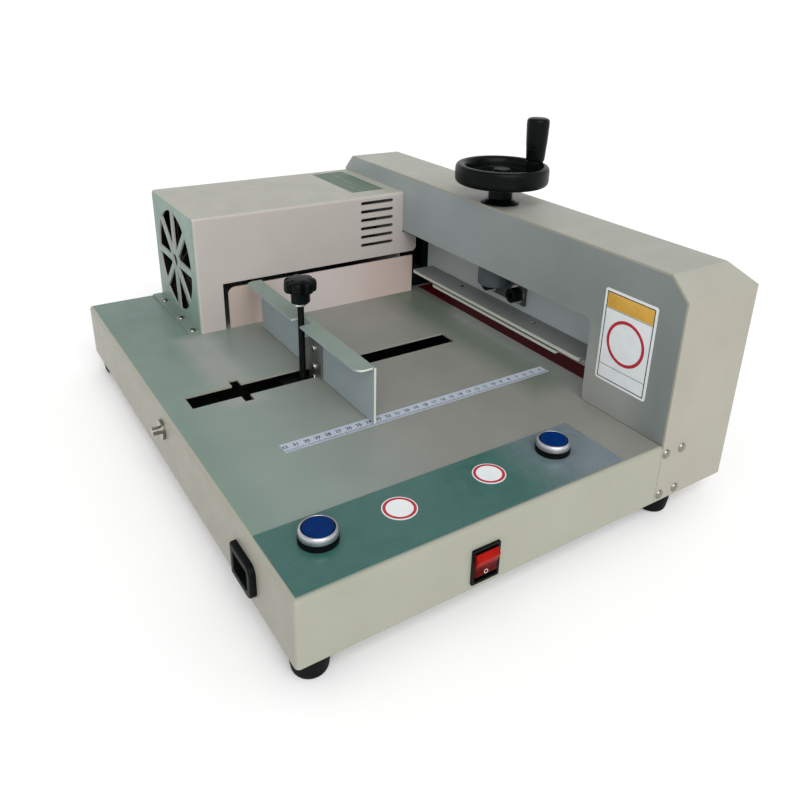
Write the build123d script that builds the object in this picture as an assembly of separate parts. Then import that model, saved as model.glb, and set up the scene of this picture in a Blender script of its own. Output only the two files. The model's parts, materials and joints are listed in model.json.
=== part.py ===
"""Electric guillotine for a stack of paper: the solids, in millimetres, +Z up.

Every piece is drawn from one corner of the machine: x runs right from the left side of
the base, y runs back from its front, z runs up from the floor. The last lines move all
of it at once, so that the origin is the middle of the whole footprint on the floor.
"""
import os
from math import atan, cos, hypot, pi, radians, sin, sqrt, tan

from build123d import *

# Driving sizes
BASE_WIDTH = 343.0
GATE_WIDTH = 90.0
DEPTH = 560.0
BASE_HIGH = 57.0
GATE_HIGH = 150.0
FOOT_HIGH = 21.0
SHEET = 2.0
BEND = 3.5
LIP = 12.0
RIGHT = BASE_WIDTH + GATE_WIDTH
UNDERSIDE = FOOT_HIGH + SHEET
TABLE = UNDERSIDE + BASE_HIGH
GATE_TOP = TABLE + GATE_HIGH

# Fits: how far one face stands off another
FIT = 0.05
SLIDE_GAP = 0.1
CLEAR = 0.3
SEAM = 0.4

# Lengths that only carry a cut past a face
PAST = 3.0
QUARTER_TURN = 90.0
FULL_TURN = 360.0
HALF_SHARE = 0.5
CORNER = (Align.MIN, Align.MIN, Align.MIN)
ON_END = (Align.CENTER, Align.CENTER, Align.MIN)


def span(start, size):
    """From a start over a size."""
    return (start, start + size)


def about(middle, half):
    """The same reach on both sides of a middle."""
    return (middle - half, middle + half)


def middle_of(reach):
    """The middle between two ends."""
    return (reach[0] + reach[1]) * HALF_SHARE


def outline_of(shares, start, size):
    """Outline points from shares of a size, counted from a start."""
    return [(start[0] + a * size[0], start[1] + b * size[1]) for a, b in shares]


def block(x0, x1, y0, y1, z0, z1):
    """A box between two corners."""
    return Pos(x0, y0, z0) * Box(x1 - x0, y1 - y0, z1 - z0, align=CORNER)


def post(radius, x, y, z0, z1):
    """A round bar that stands up."""
    return Pos(x, y, z0) * Cylinder(radius, z1 - z0, align=ON_END)


def bar_x(radius, x0, x1, y, z):
    """A round bar from left to right."""
    return Pos(x0, y, z) * Rot(0, QUARTER_TURN, 0) * Cylinder(radius, x1 - x0, align=ON_END)


def bar_y(radius, x, y0, y1, z):
    """A round bar from front to back."""
    return Pos(x, y0, z) * Rot(-QUARTER_TURN, 0, 0) * Cylinder(radius, y1 - y0, align=ON_END)


def plate_x(outline, x0, x1):
    """A plate of (y, z) outline, x0 to x1 thick."""
    face = make_face(Polyline(*[(x0, y, z) for y, z in outline], close=True))
    return extrude(face, amount=x1 - x0, dir=(1, 0, 0))


def plate_y(outline, y0, y1):
    """A plate of (x, z) outline, y0 to y1 thick."""
    face = make_face(Polyline(*[(x, y0, z) for x, z in outline], close=True))
    return extrude(face, amount=y1 - y0, dir=(0, 1, 0))


def turned(outline, x, y):
    """A lathe shape of (radius, z) outline about an upright axis."""
    face = make_face(Polyline(*[(r, 0, z) for r, z in outline], close=True))
    return Pos(x, y, 0) * revolve(face, Axis.Z)


def slot_x(x0, x1, y, z, width, depth):
    """A cut with round ends along x, through a wall that faces front."""
    radius = width * HALF_SHARE
    middle = block(x0 + radius, x1 - radius, y - depth, y + depth, z - radius, z + radius)
    ends = [bar_y(radius, x, y - depth, y + depth, z) for x in (x0 + radius, x1 - radius)]
    return middle + ends[0] + ends[1]


def top_edges(shape, axis):
    """The two upper edges of a box that run along an axis."""
    return shape.edges().filter_by(axis).sort_by(Axis.Z)[-2:]


# Gate: the bridge over the table, and where its uprights stand
CHAMFER_DOWN = 18.4
CHAMFER_IN = 19.3
CHAMFER_RIGHT = 21.0
CHEEK_IN = 7.0
CHEEK_WIDE = 42.0
CHEEK_THICK = 20.0
CHEEK_FRONT = 74.0
CHEEK_BACK = 111.0
CHEEK_DOWN = 16.0
CHEEK_X = span(BASE_WIDTH + CHEEK_IN, CHEEK_WIDE)
CHEEK_FRONT_Y = span(CHEEK_FRONT, CHEEK_THICK)
CHEEK_BACK_Y = (DEPTH - CHEEK_BACK - CHEEK_THICK, DEPTH - CHEEK_BACK)
CHEEK_TOP = GATE_TOP - CHEEK_DOWN
GROOVE_IN = 31.0
GROOVE_WIDE = 13.0
GROOVE_DEEP = 5.0
GROOVE_UP = 2.0
GROOVE_X = span(BASE_WIDTH + GROOVE_IN, GROOVE_WIDE)
GROOVE_FOOT = TABLE + GROOVE_UP
BEAM_IN = 4.0
BEAM_WIDE = 44.0
BEAM_HIGH = 19.0
BEAM_X = span(BASE_WIDTH + BEAM_IN, BEAM_WIDE)
BEAM_FOOT = GATE_TOP - SHEET - BEAM_HIGH
BED_IN = 9.0
BED_RIGHT = 5.0
BED_HIGH = 24.0
BED_X = (BASE_WIDTH + BED_IN, RIGHT - BED_RIGHT)
BED_FOOT = TABLE - SHEET - BED_HIGH
TONGUE_Y = (CHEEK_FRONT_Y[1], CHEEK_BACK_Y[0])
WINDOW_INSETS = (4.3, 4.0)
WINDOW_HIGH = 82.0
WINDOW_ROUND = 8.0
WINDOW_FLARE = 3.6
WINDOW_FLARE_UP = 7.0
WINDOW_Y = (TONGUE_Y[0] + WINDOW_INSETS[0], TONGUE_Y[1] - WINDOW_INSETS[1])
WINDOW_TOP = TABLE + WINDOW_HIGH
OFFCUT_HIGH = 65.0
OFFCUT_TOP = TABLE + OFFCUT_HIGH
STICK_WIDE = 22.0
STICK_HIGH = 10.0
STICK_GAP = 0.2
STICK_X = span(GROOVE_X[0], STICK_WIDE)
GATE_SCREW_INS = (5.7, 26.0)
GATE_SCREW_DOWN = 8.7
GATE_SCREW_UP = 6.6
GATE_SCREW_LEVELS = (TABLE - GATE_SCREW_DOWN, UNDERSIDE + GATE_SCREW_UP)
GATE_SCREWS = [(BASE_WIDTH + x, z) for z in GATE_SCREW_LEVELS for x in GATE_SCREW_INS]

# Control panel, buttons and round plates on the table's front strip
PANEL_LEFT = 3.0
PANEL_RIGHT = 45.0
PANEL_FRONT = 4.5
PANEL_DEEP = 67.5
PANEL_THICK = 1.0
PANEL_X = (PANEL_LEFT, BASE_WIDTH - PANEL_RIGHT)
PANEL_Y = span(PANEL_FRONT, PANEL_DEEP)
PANEL_TOP = TABLE + PANEL_THICK
BUTTON_LEFT = 37.0
BUTTON_RIGHT = 40.5
BUTTON_BACK = 26.7
BUTTONS_X = (PANEL_X[0] + BUTTON_LEFT, PANEL_X[1] - BUTTON_RIGHT)
BUTTON_Y = PANEL_Y[1] - BUTTON_BACK
BARREL_RADIUS = 11.0
BARREL_BORE = 9.0
BARREL_DOWN = 18.0
BARREL_FOOT = TABLE - BARREL_DOWN
BUTTON_HOLE = BARREL_RADIUS + CLEAR
COLLAR_RADIUS = 14.8
COLLAR_HIGH = 3.6
BEZEL_RADIUS = 14.4
BEZEL_WALL = 2.2
BEZEL_HIGH = 7.2
BEZEL_ROUND = 1.9
BEZEL_FOOT = PANEL_TOP + COLLAR_HIGH
BEZEL_TOP = BEZEL_FOOT + BEZEL_HIGH
BEZEL_LIP = BEZEL_RADIUS - BEZEL_WALL
CAP_GAP = 0.4
CAP_RISE = 0.5
CAP_ROUND = 1.0
CAP_TRAVEL = 4.0
CAP_RADIUS = BEZEL_LIP - CAP_GAP
CAP_SKIRT = BEZEL_HIGH + CAP_RISE - CAP_TRAVEL - CAP_GAP * HALF_SHARE
STEM_RADIUS = 5.0
STEM_LONG = 17.0
NUT_RADIUS = 15.0
NUT_HIGH = 4.0
CONTACT_WIDE = 15.0
CONTACT_DEEP = 12.0
CONTACT_UP = 9.0
CONTACT_FOOT = UNDERSIDE + CONTACT_UP
DISC_RADIUS = 13.6
DISC_SHARES = ((0.349, 0.6), (0.634, 0.607))
DISCS = outline_of(DISC_SHARES, (PANEL_X[0], PANEL_Y[0]), (PANEL_X[1] - PANEL_X[0], PANEL_DEEP))

# Rocker switch on the front
ROCKER_PLACE_SHARE = 0.4458
ROCKER_UP = 20.5
ROCKER_FRAME = (25.6, 31.4)
ROCKER_RIM = 1.3
ROCKER_WALL = 0.7
ROCKER_FRAME_OUT = 2.0
ROCKER_BODY_DEEP = 24.0
ROCKER_POCKET = 9.0
ROCKER_OUT = 6.0
ROCKER_X = BASE_WIDTH * ROCKER_PLACE_SHARE
ROCKER_Z = UNDERSIDE + ROCKER_UP
ROCKER_BODY = tuple(size - 2 * ROCKER_RIM for size in ROCKER_FRAME)
ROCKER_OPEN = tuple(size - 2 * ROCKER_WALL for size in ROCKER_BODY)
PADDLE_GAP = 0.4
PADDLE_ROOM = 0.8
PADDLE_RISE = 5.0
PADDLE_ROUND = 0.5
PADDLE_PIVOT_Y = 0.66
PADDLE_TILT = 12.0
PADDLE_WIDE = ROCKER_OPEN[0] - 2 * PADDLE_GAP
PADDLE_HALF = ROCKER_OPEN[1] * HALF_SHARE - PADDLE_ROOM
PADDLE_SHARES = ((-0.16, 1.0), (-1.0, 0.66), (-0.74, 0.31), (-0.68, 0.0), (-0.74, -0.31), (-1.0, -0.66),
                 (-0.16, -1.0), (0.72, -0.39), (0.72, 0.39))

# Mains inlet on the left
INLET_AT = 82.0
INLET_UP = 23.0
INLET_SIZE = (38.0, 29.0)
INLET_CUT = 8.0
INLET_CORNER = 2.5
INLET_OUT = 5.0
INLET_RIM = 3.2
INLET_WALL = 2.8
INLET_DEEP = 26.0
INLET_MOUTH_DEEP = 14.0
INLET_MOUTH_ROUND = 2.0
INLET_Z = UNDERSIDE + INLET_UP
INLET_BODY = tuple(size - 2 * INLET_RIM for size in INLET_SIZE)
INLET_MOUTH = tuple(size - 2 * INLET_WALL for size in INLET_BODY)
PIN_SIZE = (2.0, 4.0)
PIN_SPREAD = 7.0
PIN_DROP = 3.0
PIN_OUT = 12.0

# Gauge rod, slider and fence
HOUSE_DEEP = 143.4
GAUGE_Y = 276.0
GAUGE_SLOT_LEFT = 25.0
GAUGE_SLOT_RIGHT = 27.0
GAUGE_SLOT_WIDE = 24.0
FENCE_SLOT_X = (GAUGE_SLOT_LEFT, BASE_WIDTH - GAUGE_SLOT_RIGHT)
FENCE_SLOT_Y = about(GAUGE_Y, GAUGE_SLOT_WIDE * HALF_SHARE)
NOTCH_AT = 75.0
NOTCH_WIDE = 9.0
NOTCH_LONG = 46.0
NOTCH_X = about(NOTCH_AT, NOTCH_WIDE * HALF_SHARE)
NOTCH_Y = about(GAUGE_Y, NOTCH_LONG * HALF_SHARE)
ROD_DOWN = 19.5
ROD_RADIUS = 5.0
ROD_SHORT = 3.0
ROD_Z = TABLE - ROD_DOWN
ROD_END = BASE_WIDTH - ROD_SHORT
FLANGE_RADIUS = 9.5
FLANGE_OUT = 3.0
POST_RADIUS = 4.0
POST_OUT = 10.0
SLEEVE_RADIUS = 7.5
SLEEVE_IN = 12.0
ROD_BRACKET_LONG = 15.0
ROD_BRACKET_WIDE = 28.0
ROD_BRACKET_HIGH = 24.0
ROD_BRACKET_X = (BASE_WIDTH - ROD_BRACKET_LONG, BASE_WIDTH)
ROD_BRACKET_Y = about(GAUGE_Y, ROD_BRACKET_WIDE * HALF_SHARE)
ROD_BRACKET_Z = about(ROD_Z, ROD_BRACKET_HIGH * HALF_SHARE)
FENCE_AT = 150.4
LOCK_IN = 10.8
LOCK_BACK = 1.0
LOCK_X = FENCE_AT - LOCK_IN
LOCK_Y = GAUGE_Y + LOCK_BACK
FENCE_THICK = 2.0
FENCE_X = span(FENCE_AT, FENCE_THICK)
FENCE_FRONT = 157.5
FENCE_BACK_GAP = 15.6
FENCE_LIFT = 0.8
FENCE_HIGH = 54.5
FENCE_LIP_WIDE = 16.1
FENCE_LIP_FRONT = 2.0
FENCE_LIP_BACK = 3.5
FENCE_LIP_ROUND = 9.0
FENCE_NOTCH_FRONT = 8.0
FENCE_NOTCH_BACK = 11.5
FENCE_NOTCH_LAND = 2.9
FENCE_NOTCH_ROUND = 3.0
FENCE_Y = (FENCE_FRONT, DEPTH - HOUSE_DEEP - FENCE_BACK_GAP)
FENCE_FOOT = TABLE + FENCE_LIFT
FENCE_TOP = FENCE_FOOT + FENCE_HIGH
FENCE_LIP_X = FENCE_X[0] - FENCE_LIP_WIDE
FENCE_LIP_Y = (FENCE_Y[0] + FENCE_LIP_FRONT, FENCE_Y[1] + FENCE_LIP_BACK)
FENCE_NOTCH_X = FENCE_X[0] - FENCE_NOTCH_LAND
FENCE_NOTCH_Y = (LOCK_Y - FENCE_NOTCH_FRONT, LOCK_Y + FENCE_NOTCH_BACK)
ANGLE_THICK = 2.5
ANGLE_FRONT = 22.0
ANGLE_BACK = 4.0
ANGLE_TAIL_WIDE = 14.5
ANGLE_LEG = 7.0
ANGLE_UP = 3.0
ANGLE_HIGH = 34.0
ANGLE_DOWN = 12.5
ANGLE_Y = (GAUGE_Y - ANGLE_FRONT, GAUGE_Y + ANGLE_BACK)
ANGLE_TAIL_Y = (ANGLE_Y[1] - ANGLE_TAIL_WIDE, ANGLE_Y[1])
ANGLE_FOOT = TABLE + ANGLE_UP
ANGLE_TOP = ANGLE_FOOT + ANGLE_HIGH
ANGLE_TAIL = TABLE - ANGLE_DOWN
ANGLE_LEG_X = FENCE_X[0] - ANGLE_LEG
FENCE_SCREW_FRONT = 8.0
FENCE_SCREW_SHARES = (0.85, 0.45, 0.21)
FENCE_SCREW_HEAD = 3.1
FENCE_SCREW_HIGH = 1.6
FENCE_SCREW_SHANK = 1.6
FENCE_SCREW_Y = GAUGE_Y - FENCE_SCREW_FRONT
FENCE_SCREWS_Z = [ANGLE_TAIL + share * (ANGLE_TOP - ANGLE_TAIL) for share in FENCE_SCREW_SHARES]
SLIDER_LONG = 29.9
SLIDER_FRONT = 19.0
SLIDER_BACK = 20.0
SLIDER_HIGH = 24.0
SLIDER_DOWN = 6.0
SLIDER_SCREW_EDGE = 3.5
SLIDER_SCREW_UP = 3.0
SLIDER_SCREW_DEEP = 4.3
SLIDER_X = (FENCE_X[0] - ANGLE_THICK - SLIDER_LONG, FENCE_X[0] - ANGLE_THICK)
SLIDER_Y = (GAUGE_Y - SLIDER_FRONT, GAUGE_Y + SLIDER_BACK)
SLIDER_Z = (TABLE - SLIDER_DOWN - SLIDER_HIGH, TABLE - SLIDER_DOWN)
SLIDER_SCREWS_Y = (ANGLE_TAIL_Y[0] + SLIDER_SCREW_EDGE, ANGLE_TAIL_Y[1] - SLIDER_SCREW_EDGE)
SLIDER_SCREW_Z = ANGLE_TAIL + SLIDER_SCREW_UP
SLIDER_SCREW_TIP = SLIDER_X[1] - SLIDER_SCREW_DEEP
LOCK_RADIUS = 3.2
LOCK_GRIP = 2.5
LOCK_TIP = ROD_Z + ROD_RADIUS + SLIDE_GAP
WASHER_RADIUS = 5.5
WASHER_HIGH = 2.5
KNOB_UP = 88.0
KNOB_HIGH = 13.0
KNOB_HUB_RADIUS = 9.2
KNOB_HUB_HIGH = 12.0
KNOB_CORE = 11.9
KNOB_LOBE = 4.1
KNOB_LOBE_AT = 11.6
KNOB_LOBES = 7
KNOB_EDGE = 15.7
KNOB_CROWN_SHARES = ((0.0, 1.0), (0.45, 0.96), (0.8, 0.84), (1.0, 0.62), (1.0, 0.15), (0.92, 0.0),
                     (0.0, 0.0))
KNOB_FOOT = TABLE + KNOB_UP
KNOB_TOP = KNOB_FOOT + KNOB_HIGH
WASHER_Z = (KNOB_FOOT - KNOB_HUB_HIGH - WASHER_HIGH, KNOB_FOOT - KNOB_HUB_HIGH)
LOCK_TOP = KNOB_FOOT + LOCK_GRIP

# Clamp, its screw and the handwheel
AXIS_IN = 20.5
AXIS_X = BASE_WIDTH + AXIS_IN
AXIS_Y = middle_of(TONGUE_Y)
CLAMP_IN = 10.0
CLAMP_WEB_THICK = 4.0
CLAMP_LIP_INSET = 22.5
CLAMP_WEB_INSET = 11.5
CLAMP_UP = 28.9
CLAMP_LIP_HIGH = 3.5
CLAMP_LIP_ROUND = 3.0
CLAMP_HIGH = 51.1
CLAMP_MARK_SHARES = (0.3, 0.73)
CLAMP_MARK_IN = 19.0
CLAMP_MARK_RADIUS = 2.6
CLAMP_MARK_DEEP = 1.2
CLAMP_FRONT = BASE_WIDTH + CLAMP_IN
CLAMP_WEB_X = (GROOVE_X[1] - CLAMP_WEB_THICK, GROOVE_X[1])
CLAMP_LIP_Y = (TONGUE_Y[0] + CLAMP_LIP_INSET, TONGUE_Y[1] - CLAMP_LIP_INSET)
CLAMP_WEB_Y = (TONGUE_Y[0] + CLAMP_WEB_INSET, TONGUE_Y[1] - CLAMP_WEB_INSET)
CLAMP_FOOT = TABLE + CLAMP_UP
CLAMP_TOP = CLAMP_FOOT + CLAMP_HIGH
PAD_INSETS = (31.5, 44.5)
PAD_DOWN = 4.9
PAD_THICK = 3.0
PAD_BACK_GAP = 1.0
PAD_STEP = 7.0
PAD_Y = (CLAMP_LIP_Y[0] + PAD_INSETS[0], CLAMP_LIP_Y[1] - PAD_INSETS[1])
PAD_Z = span(CLAMP_FOOT - PAD_DOWN, PAD_THICK)
PAD_BACK = CLAMP_WEB_X[1] - PAD_BACK_GAP
PAD_RISER = CLAMP_FRONT + PAD_STEP
BOSS_RADIUS = 18.0
BOSS_ROUND = 1.6
BOSS_UP = 60.0
BOSS_DOWN = 38.0
BOSS_FLOOR = 3.0
BOSS_WELL = 8.6
BOSS_NUT_HIGH = 14.0
BOSS_PAD_BACK = 8.5
BOSS_PAD_HALF = 15.0
BOSS_PAD_EDGE = 4.0
BOSS_PLATE_THICK = 3.0
BOSS_PLATE_HALF = 33.0
BOSS_PLATE_UP = 11.1
BOSS_PLATE_HIGH = 36.0
BOSS_BOLT_SPREAD = 21.7
BOSS_BOLT_UP = 11.0
BOSS_BOLT_HEAD = 8.0
BOSS_BOLT_HIGH = 9.0
BOSS_BOLT_WASHER = 10.5
BOSS_BOLT_WASHER_HIGH = 1.6
BOSS_BOLT_SHANK = 3.5
BOSS_Z = (TABLE + BOSS_UP, GATE_TOP - BOSS_DOWN)
BOSS_NUT_FOOT = BOSS_Z[1] - BOSS_NUT_HIGH
BOSS_PAD_X = AXIS_X + BOSS_PAD_BACK
BOSS_PAD_Y = about(AXIS_Y, BOSS_PAD_HALF)
BOSS_PAD_Z = (BOSS_Z[0] + BOSS_PAD_EDGE, BOSS_Z[1] - BOSS_PAD_EDGE)
BOSS_PLATE_Y = about(AXIS_Y, BOSS_PLATE_HALF)
BOSS_PLATE_X = CLAMP_WEB_X[0] - BOSS_PLATE_THICK
BOSS_PLATE_Z = span(CLAMP_FOOT + BOSS_PLATE_UP, BOSS_PLATE_HIGH)
BOSS_BOLTS_Y = about(AXIS_Y, BOSS_BOLT_SPREAD)
BOSS_BOLT_Z = BOSS_PLATE_Z[0] + BOSS_BOLT_UP
SCREW_RADIUS = 8.0
SCREW_TIP_UP = 17.0
SCREW_COLLAR = 12.0
SCREW_COLLAR_HIGH = 3.7
SCREW_NECK = 6.0
SCREW_TIP = BOSS_Z[0] + SCREW_TIP_UP
SCREW_COLLAR_Z = (BEAM_FOOT - CLEAR - SCREW_COLLAR_HIGH, BEAM_FOOT - CLEAR)
BUSH_RADIUS = 12.0
BUSH_HIGH = 4.0
BUSH_FLANGE_RADIUS = 20.0
BUSH_SHARES = ((1.0, 0.0), (1.0, 0.35), (0.85, 0.6), (0.71, 1.0))
WHEEL_RADIUS = 48.4
WHEEL_HIGH = 35.9
WHEEL_HUB_SHARE = 0.758
WHEEL_SHARES = ((0.26, 0.0), (0.256, 0.354), (0.3, 0.437), (0.413, 0.479), (0.744, 0.471), (0.93, 0.465),
                (0.979, 0.499), (1.0, 0.577), (1.0, 0.883), (0.979, 0.967), (0.93, 1.0), (0.857, 1.0),
                (0.798, 0.955), (0.769, 0.855), (0.752, 0.688), (0.455, 0.632), (0.289, 0.677),
                (0.227, 0.758))
WHEEL_CAP_RADIUS = 9.0
WHEEL_CAP_HIGH = 4.0
WHEEL_CAP_ROUND = 1.6
WHEEL_FOOT = GATE_TOP + BUSH_HIGH + CLEAR
WHEEL_HUB_TOP = WHEEL_FOOT + WHEEL_HIGH * WHEEL_HUB_SHARE
GRIP_AT = 39.6
GRIP_ANGLE = radians(-8.0)
GRIP_SEAT_RADIUS = 8.6
GRIP_SEAT_RISE = 0.8
GRIP_SEAT_HIGH = 13.0
GRIP_X = AXIS_X + GRIP_AT * cos(GRIP_ANGLE)
GRIP_Y = AXIS_Y + GRIP_AT * sin(GRIP_ANGLE)
GRIP_SEAT = WHEEL_FOOT + WHEEL_HIGH + GRIP_SEAT_RISE
GRIP_SEAT_Z = (GRIP_SEAT - GRIP_SEAT_HIGH, GRIP_SEAT)
GRIP_RADIUS = 11.8
GRIP_HIGH = 44.1
GRIP_SHARES = ((0.76, 0.0), (0.81, 0.02), (0.85, 0.15), (0.92, 0.4), (1.0, 0.86), (0.983, 0.935),
               (0.85, 0.98), (0.45, 0.997), (0.0, 1.0))
GRIP_PIN_RADIUS = 3.0
GRIP_PIN_DOWN = 17.0
GRIP_PIN_UP = 34.0
GRIP_PIN_END = 1.0
GRIP_PIN_Z = (GRIP_SEAT - GRIP_PIN_DOWN, GRIP_SEAT + GRIP_PIN_UP)

# Knife, its carrier and the drive
GEAR_BACK = 60.0
GEAR_UP = 70.0
GEAR_Y = DEPTH - GEAR_BACK
GEAR_Z = TABLE + GEAR_UP
CARRIER_THICK = 11.9
CARRIER_LAP = 14.0
CARRIER_TO_GEAR = 22.0
CARRIER_UP = 52.0
CARRIER_DOWN = 22.0
CARRIER_ROUND = 6.0
CARRIER_X = span(CHEEK_X[1] + SLIDE_GAP, CARRIER_THICK)
CARRIER_Y = (CHEEK_FRONT_Y[0] - CARRIER_LAP, GEAR_Y - CARRIER_TO_GEAR)
CARRIER_Z = (TABLE + CARRIER_UP, GATE_TOP - CARRIER_DOWN)
GUIDE_IN = 8.0
GUIDE_UP = 66.0
GUIDE_RADIUS = 6.0
GUIDE_DEEP = 14.0
GUIDE_HEAD = 10.0
GUIDE_HEAD_HIGH = 5.7
GUIDE_CROWN = 15.2
GUIDE_SLOT_SPARE = 0.6
GUIDES_Y = (CHEEK_FRONT_Y[0] + GUIDE_IN, CHEEK_BACK_Y[1] - GUIDE_IN)
GUIDE_Z = TABLE + GUIDE_UP
GUIDE_TIP = CHEEK_X[1] - GUIDE_DEEP
GUIDE_FACE = CARRIER_X[1] + CLEAR
KNIFE_TRAVEL = CARRIER_Z[1] - GUIDE_Z - GUIDE_CROWN
BLADE_THICK = 3.5
BLADE_INSET = 6.0
BLADE_BEVEL = 10.0
BLADE_LAP = 33.0
BLADE_FACE = CARRIER_X[0] - BLADE_THICK
BLADE_Y = (TONGUE_Y[0] + BLADE_INSET, TONGUE_Y[1] - BLADE_INSET)
BLADE_EDGE = TABLE + KNIFE_TRAVEL + SLIDE_GAP
BLADE_TOP = CARRIER_Z[0] + BLADE_LAP
BLADE_SCREWS = 5
BLADE_SCREW_END = 25.0
BLADE_SCREW_UP = 20.0
BLADE_SCREW_HEAD = 5.0
BLADE_SCREW_HIGH = 5.0
BLADE_SCREW_SHANK = 3.0
BLADE_SCREW_SHORT = 0.8
BLADE_SCREW_Z = CARRIER_Z[0] + BLADE_SCREW_UP
BLADE_SCREW_TIP = BLADE_FACE + BLADE_SCREW_SHORT
BLADE_SCREW_PITCH = (BLADE_Y[1] - BLADE_Y[0] - 2 * BLADE_SCREW_END) / (BLADE_SCREWS - 1)
BLADE_SCREWS_Y = [BLADE_Y[0] + BLADE_SCREW_END + BLADE_SCREW_PITCH * i for i in range(BLADE_SCREWS)]
GEAR_MODULE = 1.5
GEAR_TEETH = 18
PRESSURE = radians(20.0)
ADDENDUM_SHARE = 0.85
DEDENDUM_SHARE = 1.25
BACKLASH = 0.12
FLANK_STEPS = 6
GEAR_PITCH = pi * GEAR_MODULE
RACK_WIDE = 10.0
RACK_UP = 7.0
RACK_X = about(middle_of(CARRIER_X), RACK_WIDE * HALF_SHARE)
RACK_LOW = CARRIER_Z[0] + RACK_UP
RACK_TEETH = round((CARRIER_Z[1] - RACK_LOW) / GEAR_PITCH)
SHAFT_RADIUS = 6.0
SHAFT_IN = 9.5
SHAFT_OVER = 11.0
SHAFT_HOLE = 22.0
BEARING_IN = 9.0
BEARING_THICK = 10.0
BEARING_BACK = 22.0
BEARING_UP = 104.0
BEARING_X = span(BASE_WIDTH + BEARING_IN, BEARING_THICK)
BEARING_Z = (UNDERSIDE, TABLE + BEARING_UP)
BEARING_Y = (CHEEK_BACK_Y[1], DEPTH - BEARING_BACK)

# Motor housing and what it covers
HOUSE_LONG = 258.0
HOUSE_HIGH = 129.4
HOUSE_X = BASE_WIDTH - HOUSE_LONG
HOUSE_Y = DEPTH - HOUSE_DEEP
HOUSE_TOP = TABLE + HOUSE_HIGH
HOUSE_LIP = 12.0
HOUSE_LIP_INSETS = (3.4, 4.0)
HOUSE_LIP_X = HOUSE_X - HOUSE_LIP
HOUSE_LIP_Y = (HOUSE_Y + HOUSE_LIP_INSETS[0], DEPTH - HOUSE_LIP_INSETS[1])
HOUSE_POST = 28.5
HOUSE_GAP_HIGH = 53.2
HOUSE_GAP_X = HOUSE_X + HOUSE_POST
HOUSE_GAP_TOP = TABLE + HOUSE_GAP_HIGH
TAB_SIZE = (20.4, 26.3)
TAB_SHARES = ((-0.098, 0.0), (0.809, 0.0), (1.0, 0.144), (1.0, 0.639), (0.196, 1.0), (-0.098, 1.0))
VENT_RIGHT = 14.0
VENT_LONG = 44.0
VENT_DOWN = 8.2
VENT_PITCH = 10.16
VENT_WIDE = 4.0
VENTS = 6
VENT_TOP = HOUSE_TOP - VENT_DOWN
VENT_X = (BASE_WIDTH - VENT_RIGHT - VENT_LONG, BASE_WIDTH - VENT_RIGHT)
LOUVRE_LONG = 42.0
LOUVRE_IN = 25.4
LOUVRE_PITCH = 6.0
LOUVRE_WIDE = 3.0
LOUVRES = 18
LOUVRE_Y = HOUSE_Y + LOUVRE_IN
LOUVRE_X = (VENT_X[1] - LOUVRE_LONG, VENT_X[1])
HOUSE_SCREW_SHARES = (0.059, 0.353, 0.801)
HOUSE_SCREW_X = HOUSE_X - HOUSE_LIP * HALF_SHARE
HOUSE_SCREWS_Y = [HOUSE_LIP_Y[0] + share * (HOUSE_LIP_Y[1] - HOUSE_LIP_Y[0]) for share in HOUSE_SCREW_SHARES]
FAN_BACK = 72.0
FAN_UP = 63.8
FAN_Y = DEPTH - FAN_BACK
FAN_Z = TABLE + FAN_UP
FAN_SIDE = 60.0
FAN_RIM = 3.0
FAN_DEEP = 25.0
FAN_HUB = 21.0
FAN_TIP_GAP = 1.5
FAN_BORE = FAN_SIDE - FAN_RIM
FAN_TIP = FAN_BORE - FAN_TIP_GAP
FAN_BLADES = 7
FAN_BLADE_TILT = 38.0
FAN_BLADE_THICK = 1.8
FAN_BLADE_CHORD = 22.0
FAN_CORE = 14.0
FAN_CORE_DEEP = 5.0
FAN_STRUT = 4.0
FAN_STRUTS = 4
FAN_GAP = 0.4
FAN_SCREW_IN = 7.5
FAN_SCREW_AT = FAN_SIDE - FAN_SCREW_IN
FAN_SCREW_RADIUS = 2.2
GRILLE_EDGE = 0.5
GRILLE_OUT = FAN_BORE - GRILLE_EDGE
GRILLE_IN = 13.0
GRILLE_EYE = 7.5
SPOKES = 8
SPOKE_WIDE = 7.5
SIDE_IN = 34.0
SIDE_OVER = 15.5
SIDE_HIGH = 47.4
SIDE_ROUND = 8.0
SIDE_FOOT_DEEP = 7.4
SIDE_TOP = TABLE + SIDE_HIGH
SIDE_FOOT_Y = HOUSE_Y + SIDE_FOOT_DEEP
SIDE_X = (HOUSE_X + SIDE_IN, BASE_WIDTH + SIDE_OVER)
BOX_RIGHT = 15.0
BOX_LONG = 82.0
BOX_HALF = (38.0, 36.0)
BOX_ROUND = 6.0
BOX_FOOT_LONG = 14.0
BOX_FOOT_INSETS = (2.0, 4.0)
BOX_SOLE_OUT = 9.0
BOX_SOLE_THICK = 5.0
BOX_RING = 18.0
BOX_RING_DEEP = 3.0
BOX_X = (BASE_WIDTH - BOX_RIGHT - BOX_LONG, BASE_WIDTH - BOX_RIGHT)
BOX_Y = about(GEAR_Y, BOX_HALF[0])
BOX_Z = about(GEAR_Z, BOX_HALF[1])
BOX_FEET_X = (span(BOX_X[0] + BOX_FOOT_INSETS[0], BOX_FOOT_LONG),
              span(BOX_X[1] - BOX_FOOT_INSETS[1] - BOX_FOOT_LONG, BOX_FOOT_LONG))
SHAFT_X = (BOX_X[1] - SHAFT_IN, RACK_X[1] + SHAFT_OVER)
MOTOR_ROOM = 12.0
MOTOR_RADIUS = 36.0
MOTOR_END = 31.0
MOTOR_END_DEEP = 8.0
MOTOR_FINS = 16
MOTOR_FIN_DEEP = 3.0
MOTOR_FIN_WIDE = 2.4
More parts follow.
